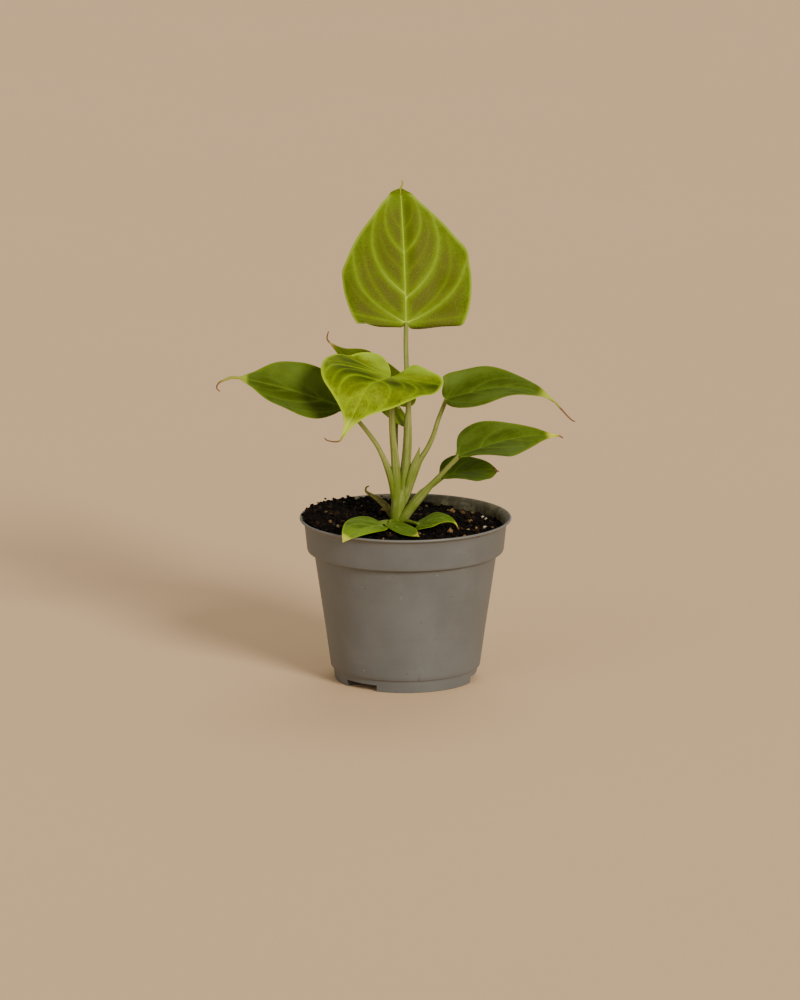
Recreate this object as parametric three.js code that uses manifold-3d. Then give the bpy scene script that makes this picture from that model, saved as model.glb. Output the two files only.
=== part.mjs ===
// A young velvet philodendron in a 12 cm plastic nursery pot.
// Millimetres, +Z up. The origin is the centre of the pot's underside.
// +X is to the right and +Y away, as the plant is seen from its front.
import * as THREE from "three";
import { mergeVertices } from "three/addons/utils/BufferGeometryUtils.js";
import Module from "manifold-3d";

const wasm = await Module();
wasm.setup();

// Fit of one piece against the next
const GAP = 0.35;

// Pot: driving dimensions
const POT = {
  height: 93,
  wall: 1.2,
  sides: 48,
  lipRadius: 60,
  lipHeight: 1.5,
  lipEdge: 0.4,
  lipInnerRadius: 58.7,
  flareZ: 90.2,
  collarTopRadius: 57.6,
  collarTopZ: 90.7,
  collarFootRadius: 55.6,
  collarFootZ: 74.3,
  bodyTopRadius: 51.7,
  bodyTopZ: 72.8,
  bodyFootRadius: 42.3,
  bodyFootZ: 7.8,
  footTopRadius: 41.1,
  footTopZ: 7.2,
  footRadius: 40.2,
};

// Three drainage channels run from the foot notches towards the middle
const CHANNEL = {
  angles: [-39, 81, 201],
  height: 3.8,
  roof: 1.2,
  innerRadius: 11,
  outerRadius: 46,
  innerWidth: 8,
  outerWidth: 24,
  wall: 1.2,
  holeRadius: 3.2,
  holeAt: 24,
};

// Soil: its level, the heap towards one side, the dip towards another, and its low swells
const SOIL = {
  level: 88.3,
  heap: 4.3,
  heapAngle: 158,
  dip: 2.4,
  dipAngle: 40,
  bump: 0.6,
  swell: { acrossX: 0.31, acrossY: 0.27, crossX: 0.17, crossY: 0.23, cross: 0.6 },
  rings: 8,
  sides: 40,
  bottom: CHANNEL.height + CHANNEL.roof + GAP,
};

// Loose grains and crumbs on the soil
const GRAINS = { count: 44, least: 1.0, most: 2.3, reach: 50, seed: 7, clear: 15, sunk: 0.15 };

// Stem: it stands in a plain hole in the soil
const STEM = { x: -4.5, y: -2, rootZ: 62, footRadius: 4.3, holeDepthZ: 60, holeHeight: 60 };

// Leaf blades: thickness, the wave of their margin, and how finely they are divided
const BLADE = { thickness: 0.8, wave: 0.9, waves: 3.2, rows: 22, smallRows: 16, columns: 3 };
const STALK_SIDES = 7;
const STALK_STEPS = 1.7;

const COLOURS = {
  pot: 0x756f64,
  soil: 0x2b211a,
  stalk: 0x8c9644,
  leaf: 0x5f7a2c,
  lime: 0x96a52c,
  shade: 0x3a460e,
  small: 0x6f8d2e,
  dried: 0x6d5a33,
};

const radians = (degrees) => (degrees * Math.PI) / 180;
const clamp = (value, low, high) => Math.min(high, Math.max(low, value));

// A repeatable stream of random numbers from 0 to 1
function randomStream(seed) {
  let state = seed >>> 0;
  return () => {
    state = (Math.imul(state, 1664525) + 1013904223) >>> 0;
    return state / 4294967296;
  };
}

// Solids

function toSolid(geometry) {
  const bare = geometry.index ? geometry.toNonIndexed() : geometry.clone();
  bare.deleteAttribute("normal");
  bare.deleteAttribute("uv");
  const merged = mergeVertices(bare, 1e-4);
  return new wasm.Manifold(
    new wasm.Mesh({
      numProp: 3,
      vertProperties: new Float32Array(merged.attributes.position.array),
      triVerts: new Uint32Array(merged.index.array),
    })
  );
}

function toGeometry(solid) {
  const mesh = solid.getMesh();
  const geometry = new THREE.BufferGeometry();
  geometry.setAttribute("position", new THREE.BufferAttribute(new Float32Array(mesh.vertProperties), 3));
  geometry.setIndex(new THREE.BufferAttribute(new Uint32Array(mesh.triVerts), 1));
  geometry.computeVertexNormals();
  return geometry;
}

// The largest separate piece of a solid, so that a cut leaves no scrap
function largest(solid) {
  return solid.decompose().sort((a, b) => b.volume() - a.volume())[0];
}

// A body turned about Z, from a closed profile of [radius, z] pairs
function turned(profile, sides) {
  const points = profile.map(([radius, z]) => new THREE.Vector2(radius, z));
  const geometry = new THREE.LatheGeometry(points, sides);
  geometry.rotateX(Math.PI / 2);
  const solid = toSolid(geometry);
  return solid.volume() < 0 ? toSolid(flipped(geometry)) : solid;
}

function flipped(geometry) {
  const copy = geometry.index ? geometry.toNonIndexed() : geometry.clone();
  const position = copy.attributes.position;
  for (let i = 0; i < position.count; i += 3) {
    for (let axis = 0; axis < 3; axis += 1) {
      const kept = position.getComponent(i + 1, axis);
      position.setComponent(i + 1, axis, position.getComponent(i + 2, axis));
      position.setComponent(i + 2, axis, kept);
    }
  }
  return copy;
}

// A triangle soup gathered from a list of corner points
function fromTriangles(corners) {
  const geometry = new THREE.BufferGeometry();
  geometry.setAttribute("position", new THREE.BufferAttribute(new Float32Array(corners), 3));
  return geometry;
}

// Pot

function potOuter(z) {
  const rows = [
    [0, POT.footRadius],
    [POT.footTopZ, POT.footTopRadius],
    [POT.bodyFootZ, POT.bodyFootRadius],
    [POT.bodyTopZ, POT.bodyTopRadius],
    [POT.collarFootZ, POT.collarFootRadius],
    [POT.collarTopZ, POT.collarTopRadius],
  ];
  for (let i = 1; i < rows.length; i += 1) {
    if (z <= rows[i][0]) {
      const share = (z - rows[i - 1][0]) / (rows[i][0] - rows[i - 1][0]);
      return rows[i - 1][1] + share * (rows[i][1] - rows[i - 1][1]);
    }
  }
  return POT.collarTopRadius;
}

const potInner = (z) => potOuter(z) - POT.wall;

// A channel's plan: a wedge from the middle outwards, stood on the ground
function channelWedge(angle, extra, bottom, top, outerRadius) {
  const shape = new THREE.Shape();
  const inner = CHANNEL.innerWidth / 2 + extra;
  const outer = CHANNEL.outerWidth / 2 + extra;
  shape.moveTo(CHANNEL.innerRadius - extra, -inner);
  shape.lineTo(outerRadius, -outer);
  shape.lineTo(outerRadius, outer);
  shape.lineTo(CHANNEL.innerRadius - extra, inner);
  shape.closePath();
  const geometry = new THREE.ExtrudeGeometry(shape, { depth: top - bottom, bevelEnabled: false });
  geometry.translate(0, 0, bottom);
  geometry.rotateZ(radians(angle - 90));
  return toSolid(geometry);
}

function makePot() {
  const lipZ = POT.height - POT.lipHeight;
  const outside = [
    [0, 0],
    [POT.footRadius, 0],
    [POT.footTopRadius, POT.footTopZ],
    [POT.bodyFootRadius, POT.bodyFootZ],
    [POT.bodyTopRadius, POT.bodyTopZ],
    [POT.collarFootRadius, POT.collarFootZ],
    [POT.collarTopRadius, POT.collarTopZ],
    [POT.lipRadius - POT.lipEdge, lipZ],
    [POT.lipRadius, lipZ + POT.lipEdge],
    [POT.lipRadius, POT.height - POT.lipEdge],
    [POT.lipRadius - POT.lipEdge, POT.height],
    [0, POT.height],
  ];
  const inside = [
    [0, POT.wall],
    [potInner(POT.wall), POT.wall],
    [potInner(POT.footTopZ), POT.footTopZ],
    [potInner(POT.bodyFootZ), POT.bodyFootZ],
    [potInner(POT.bodyTopZ) - 0.1, POT.bodyTopZ + 0.6],
    [potInner(POT.collarFootZ), POT.collarFootZ + 0.8],
    [potInner(POT.flareZ), POT.flareZ],
    [POT.lipInnerRadius, POT.height],
    [POT.lipInnerRadius, POT.height + 1],
    [0, POT.height + 1],
  ];
  const body = turned(outside, POT.sides);
  const foot = body.trimByPlane([0, 0, -1], -(CHANNEL.height + CHANNEL.roof));
  let pot = body.subtract(turned(inside, POT.sides));
  for (const angle of CHANNEL.angles) {
    const roof = channelWedge(angle, CHANNEL.wall, 0, CHANNEL.height + CHANNEL.roof, CHANNEL.outerRadius);
    pot = pot.add(roof.intersect(foot));
  }
  for (const angle of CHANNEL.angles) {
    pot = pot.subtract(channelWedge(angle, 0, -1, CHANNEL.height, CHANNEL.outerRadius + 4));
    const hole = new THREE.CylinderGeometry(CHANNEL.holeRadius, CHANNEL.holeRadius, 6, 12);
    hole.rotateX(Math.PI / 2);
    hole.translate(0, -CHANNEL.holeAt, CHANNEL.height + 1);
    hole.rotateZ(radians(angle));
    pot = pot.subtract(toSolid(hole));
  }
  return pot;
}

// Soil

// The top rises to the rim on the heaped side, dips on another, and has low swells that calm
// towards the wall
function soilTop(x, y) {
  const share = Math.hypot(x, y) / POT.bodyTopRadius;
  const towards = (degrees) => clamp(Math.cos(Math.atan2(y, x) - radians(degrees)), 0, 1);
  const heap = SOIL.heap * towards(SOIL.heapAngle) ** 0.8 * Math.min(share, 1) ** 2.2;
  const dip = SOIL.dip * towards(SOIL.dipAngle) * share ** 2;
  const { acrossX, acrossY, crossX, crossY, cross } = SOIL.swell;
  const swells = Math.sin(x * acrossX + 1.3) * Math.cos(y * acrossY + 0.4);
  const others = cross * Math.sin(x * crossX - y * crossY + 2);
  return SOIL.level + heap - dip + SOIL.bump * (swells + others) * clamp(1.15 - share, 0.3, 1);
}

function soilBody() {
  const corners = [];
  const sideGap = GAP + 0.25;
  const point = (ring, side) => {
    const angle = (2 * Math.PI * side) / SOIL.sides;
    const reach = potInner(SOIL.level) - sideGap;
    const radius = (reach * ring) / SOIL.rings;
    const x = radius * Math.cos(angle);
    const y = radius * Math.sin(angle);
    return [x, y, soilTop(x, y)];
  };
  const sides = [
    [potInner(POT.collarFootZ) - sideGap, POT.collarFootZ + 1.7],
    [potInner(POT.bodyTopZ) - sideGap, POT.bodyTopZ + 1.3],
    [potInner(POT.bodyFootZ) - sideGap, POT.bodyFootZ + 0.8],
    [potInner(POT.footTopZ) - sideGap, POT.footTopZ + 0.6],
    [potInner(SOIL.bottom) - sideGap, SOIL.bottom],
  ];
  const wall = (level, side) => {
    if (level === 0) {
      return point(SOIL.rings, side);
    }
    const angle = (2 * Math.PI * side) / SOIL.sides;
    const [radius, z] = sides[level - 1];
    return [radius * Math.cos(angle), radius * Math.sin(angle), z];
  };
  const middleTop = [0, 0, soilTop(0, 0)];
  const middleFoot = [0, 0, SOIL.bottom];
  for (let side = 0; side < SOIL.sides; side += 1) {
    const next = (side + 1) % SOIL.sides;
    corners.push(...middleTop, ...point(1, side), ...point(1, next));
    for (let ring = 1; ring < SOIL.rings; ring += 1) {
      const [a, b] = [point(ring, side), point(ring + 1, side)];
      const [c, d] = [point(ring + 1, next), point(ring, next)];
      corners.push(...a, ...b, ...c, ...a, ...c, ...d);
    }
    for (let level = 0; level < sides.length; level += 1) {
      const [a, b] = [wall(level, side), wall(level + 1, side)];
      const [c, d] = [wall(level + 1, next), wall(level, next)];
      corners.push(...a, ...b, ...c, ...a, ...c, ...d);
    }
    corners.push(...middleFoot, ...wall(sides.length, next), ...wall(sides.length, side));
  }
  return toSolid(fromTriangles(corners));
}

// Grains lie scattered over the soil, half sunk, clear of the stem and of the wall
function soilGrains() {
  const random = randomStream(GRAINS.seed);
  const grains = [];
  while (grains.length < GRAINS.count) {
    const angle = 2 * Math.PI * random();
    const radius = GRAINS.reach * Math.sqrt(random());
    const size = GRAINS.least + (GRAINS.most - GRAINS.least) * random() ** 2;
    const turn = [random() * 3, random() * 3, random() * 3];
    const x = radius * Math.cos(angle);
    const y = radius * Math.sin(angle);
    const nearStem = Math.hypot(x - STEM.x, y - STEM.y) < GRAINS.clear;
    const nearSmallLeaves = y < -6 && x > -44 && x < 34;
    if (nearStem || nearSmallLeaves) {
      continue;
    }
    const grain = new THREE.IcosahedronGeometry(size, 0);
    grain.scale(1, 0.8, 0.7);
    grain.rotateX(turn[0]);
    grain.rotateY(turn[1]);
    grain.rotateZ(turn[2]);
    grain.translate(x, y, soilTop(x, y) + size * GRAINS.sunk);
    grains.push(toSolid(grain));
  }
  return grains;
}

function makeSoil() {
  const radius = STEM.footRadius + GAP;
  const hole = new THREE.CylinderGeometry(radius, radius, STEM.holeHeight, 16);
  hole.rotateX(Math.PI / 2);
  hole.translate(STEM.x, STEM.y, STEM.holeDepthZ + STEM.holeHeight / 2);
  const heaped = soilGrains().reduce((whole, grain) => whole.add(grain), soilBody());
  return heaped.subtract(toSolid(hole));
}

// Stalks

// A round tube along a smooth line through points of [x, y, z, radius], with closed ends
function stalk(points, steps, sides = STALK_SIDES, flat = 1) {
  const places = points.map(([x, y, z]) => new THREE.Vector3(x, y, z));
  const curve = new THREE.CatmullRomCurve3(places, false, "centripetal");
  const radiusAt = (share) => {
    const place = share * (points.length - 1);
    const low = Math.min(Math.floor(place), points.length - 2);
    const mix = place - low;
    return points[low][3] * (1 - mix) + points[low + 1][3] * mix;
  };
  const rings = [];
  const centres = [];
  let across = new THREE.Vector3(0, -1, 0.01);
  for (let i = 0; i <= steps; i += 1) {
    const share = i / steps;
    const centre = curve.getPoint(share);
    const along = curve.getTangent(share).normalize();
    across = across.clone().addScaledVector(along, -across.dot(along)).normalize();
    const third = new THREE.Vector3().crossVectors(along, across);
    const ring = [];
    for (let side = 0; side < sides; side += 1) {
      const angle = (2 * Math.PI * side) / sides;
      const radius = radiusAt(share);
      const corner = centre.clone();
      corner.addScaledVector(across, radius * Math.cos(angle) * flat);
      corner.addScaledVector(third, radius * Math.sin(angle));
      ring.push(corner);
    }
    rings.push(ring);
    centres.push(centre);
  }
  const corners = [];
  const add = (...vertices) => vertices.forEach((vertex) => corners.push(vertex.x, vertex.y, vertex.z));
  for (let side = 0; side < sides; side += 1) {
    const next = (side + 1) % sides;
    add(centres[0], rings[0][next], rings[0][side]);
    add(centres[steps], rings[steps][side], rings[steps][next]);
    for (let i = 0; i < steps; i += 1) {
      add(rings[i][side], rings[i][next], rings[i + 1][next]);
      add(rings[i][side], rings[i + 1][next], rings[i + 1][side]);
    }
  }
  return toSolid(fromTriangles(corners));
}

// Each stalk runs from the stem to the base of its leaf, as [x, y, z, radius]
const STALKS = {
  stem: [
    [-4.5, -2, STEM.rootZ, 2.6], [-4.5, -2, 80, 3.8], [-4.5, -2, 90, 4.2], [-4.1, -1.5, 98, 4.2],
    [-3.1, -0.6, 108, 3.2],
  ],
  leaf_top: [
    [-2.6, -0.5, 96, 3.2], [-1, 1.5, 112, 3.0], [0.7, 3, 128, 2.7], [1.2, 4, 139, 2.4],
    [1.2, 4.6, 147.4, 2.2], [1.6, 5, 152.6, 1.65], [1.6, 5.4, 160, 1.45], [0.6, 6.3, 178, 1.4],
    [0.2, 7.2, 192, 1.35], [0.4, 8.1, 202.3, 1.3],
  ],
  leaf_front: [
    [-4.8, -2, 96, 3.0], [-5.1, -2, 113, 2.8], [-6, -2.2, 128, 2.3], [-7.2, -3, 140, 1.9],
    [-7.9, -4.2, 156, 1.7], [-8.4, -5.4, 167, 1.5], [-8.7, -6.4, 174.2, 1.4],
  ],
  leaf_left: [
    [-5.4, -1.5, 98, 2.4], [-6, -1.8, 106, 2.5], [-7.6, -2, 114.5, 2.4], [-10.4, -2.2, 122.5, 1.9],
    [-13.2, -2.4, 129, 1.45], [-17.2, -2.7, 136.6, 1.3], [-26, -3.6, 148.4, 1.2], [-33.9, -4.4, 156.4, 1.1],
  ],
  leaf_back: [
    [-3.6, 0, 100, 2.2], [-4.6, 4, 114, 1.8], [-5.6, 9.3, 128, 1.5], [-5.4, 14.6, 142, 1.3],
    [-4.3, 20.2, 152.4, 1.2],
  ],
  leaf_right_upper: [
    [-2.4, -1, 98, 2.6], [0, 0.2, 105, 2.6], [3.6, 1, 115, 2.5], [8.2, 1, 125.4, 1.7],
    [12.4, 1, 132.4, 1.45], [15.8, 1.1, 140, 1.35], [18.6, 1.4, 149, 1.25], [22.8, 2.2, 160, 1.2],
  ],
  leaf_right_middle: [
    [-3.8, -3, 89.4, 2.6], [-1, -4.4, 93.5, 2.8], [3.6, -5.4, 99.8, 2.7], [10.6, -6.6, 108.4, 2.2],
    [15.4, -7.4, 114, 1.6], [22, -9, 121.4, 1.35], [29.6, -11.4, 130.1, 1.3],
  ],
  leaf_right_lower: [
    [-2, 0.4, 95, 2.0], [3, 4, 99.8, 1.6], [10, 7, 105.4, 1.3], [16.5, 8.4, 110, 1.15],
    [20.6, 8.8, 113.1, 1.1],
  ],
  small_leaf_left: [
    [-6.4, -3, 88.6, 1.4], [-9.4, -4.8, 91, 1.3], [-13.4, -8.4, 91.6, 1.1], [-16, -13.4, 91.8, 1.0],
    [-15.4, -18, 91.8, 0.95], [-13.5, -20.8, 92.4, 0.9],
  ],
  small_leaf_front: [
    [-5, -4.2, 89.8, 1.3], [-7.4, -8, 92.3, 1.0], [-8.6, -11.6, 92.8, 0.9], [-8.8, -13.3, 92.2, 0.8],
  ],
  small_leaf_right: [
    [-3, -3.4, 89.8, 1.3], [0.4, -6.6, 91.9, 1.2], [3.6, -10.6, 92.1, 1.05], [6.2, -14, 92.2, 1.0],
    [7.5, -15.3, 91.8, 0.9],
  ],
};

// Free tips of the sheaths that wrap the stalks low down
const SHEATHS = [
  [[-6.2, -3, 106, 1.8], [-8, -3.4, 115, 1.8], [-10, -3.3, 123, 1.4], [-11.4, -3, 128.4, 0.5]],
  [[0.6, -0.6, 106, 1.8], [2.4, -0.5, 114, 2.3], [5, 0, 122.4, 2.2], [6.9, 0.2, 128.6, 1.2], [7.9, 0.4, 132.8, 0.5]],
  [[3.2, -5, 101.4, 1.6], [8.2, -6.2, 107.6, 1.6], [11.4, -6.6, 110.8, 1.1], [13.7, -6.6, 113.4, 0.5]],
];

// A stalk's points, thickened by a clearance and run on past its end by as much
function widened(points, extra) {
  const wide = points.map(([x, y, z, radius]) => [x, y, z, radius + extra]);
  const end = new THREE.Vector3(...points[points.length - 1]);
  const before = new THREE.Vector3(...points[points.length - 2]);
  const reach = end.clone().sub(before).setLength(extra).add(end);
  wide[wide.length - 1].splice(0, 3, reach.x, reach.y, reach.z);
  return wide;
}

function makeStalks(extra) {
  let whole = stalk(widened(STALKS.stem, extra), 8, 12);
  for (const [name, points] of Object.entries(STALKS)) {
    if (name !== "stem") {
      whole = whole.add(stalk(widened(points, extra), Math.round(points.length * STALK_STEPS)));
    }
  }
  for (const points of SHEATHS) {
    whole = whole.add(stalk(widened(points, extra), 4, 6));
  }
  return whole;
}

// Leaf blades

// A blade is laid out flat first: y runs along the midrib from the stalk to the tip, and x across.
// Its outline is one chain of three curves for each half, from the tip to the notch at the stalk.
const WIDEST = 0.55;
const LOBE_FOOT = 0.82;
const RIB_FOOT = 0.42;

function cubic([a, b, c, d], u) {
  const v = 1 - u;
  return a * v ** 3 + 3 * b * v * v * u + 3 * c * v * u * u + d * u ** 3;
}

// The outline in millimetres, before its bulges. A taper of 1 narrows the base to a wedge.
function plainOutline(leaf, half, t) {
  const { wide, shoulder, point } = leaf;
  const lobe = leaf.lobe[half];
  const taper = (leaf.taper ?? [0, 0])[half];
  const tipAcross = 0.05 + 0.5 * Math.max(1 - point, 0);
  const tipAlong = 1 - 0.22 * Math.max(point, 0.12);
  const turn = 0.85 - 0.45 * taper;
  const foot = 0.5 - 0.4 * taper;
  const along2 = 0.4 * taper * wide - lobe;
  const curves = [
    [0, WIDEST, [0.03, tipAcross, 1, 1], [1, tipAlong, wide + shoulder, wide]],
    [WIDEST, LOBE_FOOT, [1, 1, turn, foot], [wide, wide - 0.6 * (wide + lobe), along2, -lobe]],
    [LOBE_FOOT, 1, [foot, 0.24 - 0.19 * taper, 0.07, 0], [-lobe, -lobe, -lobe / 2, 0]],
  ];
  const [start, end, across, along] = curves.find((curve) => t <= curve[1]);
  const u = (t - start) / (end - start);
  return [cubic(across, u) * leaf.width[half], cubic(along, u) * leaf.length];
}

// Bulges push the outline out along its normal, each as a bell curve: half, place, spread, size
function outline(leaf, half, t) {
  const [x, y] = plainOutline(leaf, half, t);
  const step = 0.002;
  const ahead = plainOutline(leaf, half, Math.min(t + step, 1));
  const behind = plainOutline(leaf, half, Math.max(t - step, 0));
  const run = new THREE.Vector2(ahead[0] - behind[0], ahead[1] - behind[1]).normalize();
  let push = 0;
  for (const [which, place, spread, size] of leaf.bulges ?? []) {
    push += which === half ? size * Math.exp(-(((t - place) / spread) ** 2)) : 0;
  }
  return [Math.max(x - run.y * push, 0), y + run.x * push];
}

function softStep(value, low, high) {
  const share = clamp((value - low) / (high - low), 0, 1);
  return share * share * (3 - 2 * share);
}

// The midrib is a line in space that starts at the stalk, with a frame that turns and rolls along it.
// Its pitch falls evenly by the droop and in one soft step at the knee: place, spread and turn.
// Behind the stalk it changes by lobeBend over the hem, a share of the lobes.
function spineFrame(leaf, y) {
  const lobe = Math.max(leaf.lobe[0], leaf.lobe[1]) * leaf.length * (leaf.hem ?? 1);
  const [place, spread, turn] = leaf.knee ?? [0.5, 0.2, 0];
  const run = clamp(y / leaf.length, 0, 1);
  const back = clamp(-y / lobe, 0, 1);
  const drop = leaf.droop * run ** leaf.bend + turn * softStep(run, place - spread, place + spread);
  const pitch = radians(leaf.pitch - drop + leaf.lobeBend * back);
  const yaw = radians(leaf.yaw + leaf.sway * run);
  const roll = radians(leaf.roll + leaf.twist * run);
  const reach = Math.cos(pitch);
  const along = new THREE.Vector3(reach * Math.cos(yaw), reach * Math.sin(yaw), Math.sin(pitch));
  const level = new THREE.Vector3(Math.sin(yaw), -Math.cos(yaw), 0);
  const upright = new THREE.Vector3().crossVectors(level, along);
  const across = level.clone().multiplyScalar(Math.cos(roll)).addScaledVector(upright, Math.sin(roll));
  const normal = upright.clone().multiplyScalar(Math.cos(roll)).addScaledVector(level, -Math.sin(roll));
  return { along, across, normal };
}

function spinePoint(leaf, y) {
  const steps = 40;
  const place = new THREE.Vector3(...leaf.base);
  for (let i = 0; i < steps; i += 1) {
    const { along } = spineFrame(leaf, (y * (i + 0.5)) / steps);
    place.addScaledVector(along, y / steps);
  }
  return place;
}

// A section starts at the fold's angle to the level and bends on by the curl over its half width
function section(x, fold, curl, width) {
  const start = radians(fold);
  const bend = radians(Math.abs(curl) < 0.01 ? 0.01 : curl);
  const end = start + (bend * x) / width;
  const radius = width / bend;
  return [radius * (Math.sin(end) - Math.sin(start)), radius * (Math.cos(start) - Math.cos(end))];
}

// The margin waves gently, out of step on the two halves, and runs level into the tip and the notch
function marginWave(width, side, t) {
  const size = BLADE.wave * Math.min(1, (width / 25) ** 2);
  const ends = clamp(6 * t, 0, 1) * clamp(5 * (1 - t), 0, 1);
  return size * ends * Math.sin(2 * Math.PI * (BLADE.waves * t + 0.2 * side));
}

function bladePoint(leaf, side, t, s) {
  const half = side > 0 ? 1 : 0;
  const width = leaf.width[half];
  const [edgeX, edgeY] = outline(leaf, half, t);
  const foot = leaf.length * Math.max(0, 1 - t / RIB_FOOT);
  const midX = edgeX * 0.5;
  const midY = foot + (edgeY - foot) * 0.3;
  const x = 2 * (1 - s) * s * midX + s * s * edgeX;
  const y = (1 - s) ** 2 * foot + 2 * (1 - s) * s * midY + s * s * edgeY;
  const { across, normal } = spineFrame(leaf, y);
  const fold = leaf.fold[half] * (1 - 0.5 * clamp(y / leaf.length, 0, 1));
  const [out, up] = section(x, fold, leaf.curl[half], width);
  const wave = marginWave(width, side, t) * s * s;
  const place = spinePoint(leaf, y);
  return place.addScaledVector(across, side * out).addScaledVector(normal, up + wave);
}

// Both faces of the blade carry the same triangles, half a thickness either side of its middle surface
function blade(leaf, rows, columns) {
  const points = [];
  const rib = [];
  const triangles = [];
  const rim = [[], []];
  const addPoint = (place) => points.push(place) - 1;
  const ribRows = Math.round(rows * RIB_FOOT);
  for (let i = 0; i <= ribRows; i += 1) {
    rib.push(addPoint(spinePoint(leaf, leaf.length * (1 - i / ribRows))));
  }
  for (const side of [-1, 1]) {
    const half = side > 0 ? 1 : 0;
    const grid = [];
    for (let i = 0; i < rows; i += 1) {
      const beyond = Math.max(0, i - ribRows) / (rows - ribRows);
      const t = (RIB_FOOT * Math.min(i, ribRows)) / ribRows + (1 - RIB_FOOT) * beyond;
      const row = [rib[Math.min(i, ribRows)]];
      for (let j = 1; j <= columns; j += 1) {
        row.push(addPoint(bladePoint(leaf, side, t, j / columns)));
      }
      grid.push(row);
      rim[half].push(...(i === 0 ? row.slice(1) : [row[columns]]));
    }
    const face = (a, b, c) => triangles.push(side > 0 ? [a, b, c] : [a, c, b]);
    for (let i = 0; i + 1 < rows; i += 1) {
      for (let j = 0; j < columns; j += 1) {
        const [a, b, c, d] = [grid[i][j], grid[i][j + 1], grid[i + 1][j + 1], grid[i + 1][j]];
        face(a, c, b);
        if (a !== d) {
          face(a, d, c);
        }
      }
    }
    const last = grid[rows - 1];
    for (let j = 1; j < columns; j += 1) {
      face(last[j], last[0], last[j + 1]);
    }
  }
  const edge = [rib[0], ...rim[1], rib[ribRows], ...rim[0].reverse()];
  return thickened(points, triangles, edge, BLADE.thickness);
}

function thickened(points, triangles, edge, thickness) {
  const normals = points.map(() => new THREE.Vector3());
  const one = new THREE.Vector3();
  const two = new THREE.Vector3();
  for (const [a, b, c] of triangles) {
    one.subVectors(points[b], points[a]);
    two.subVectors(points[c], points[a]);
    one.cross(two);
    [a, b, c].forEach((corner) => normals[corner].add(one));
  }
  const shifted = (distance) =>
    points.map((place, i) => place.clone().addScaledVector(normals[i].clone().normalize(), distance));
  const upper = shifted(thickness / 2);
  const lower = shifted(-thickness / 2);
  const corners = [];
  const add = (...vertices) => vertices.forEach((vertex) => corners.push(vertex.x, vertex.y, vertex.z));
  for (const [a, b, c] of triangles) {
    add(upper[a], upper[b], upper[c]);
    add(lower[a], lower[c], lower[b]);
  }
  for (let i = 0; i < edge.length; i += 1) {
    const [a, b] = [edge[i], edge[(i + 1) % edge.length]];
    add(upper[a], upper[b], lower[b]);
    add(upper[a], lower[b], lower[a]);
  }
  return toSolid(fromTriangles(corners));
}

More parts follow.
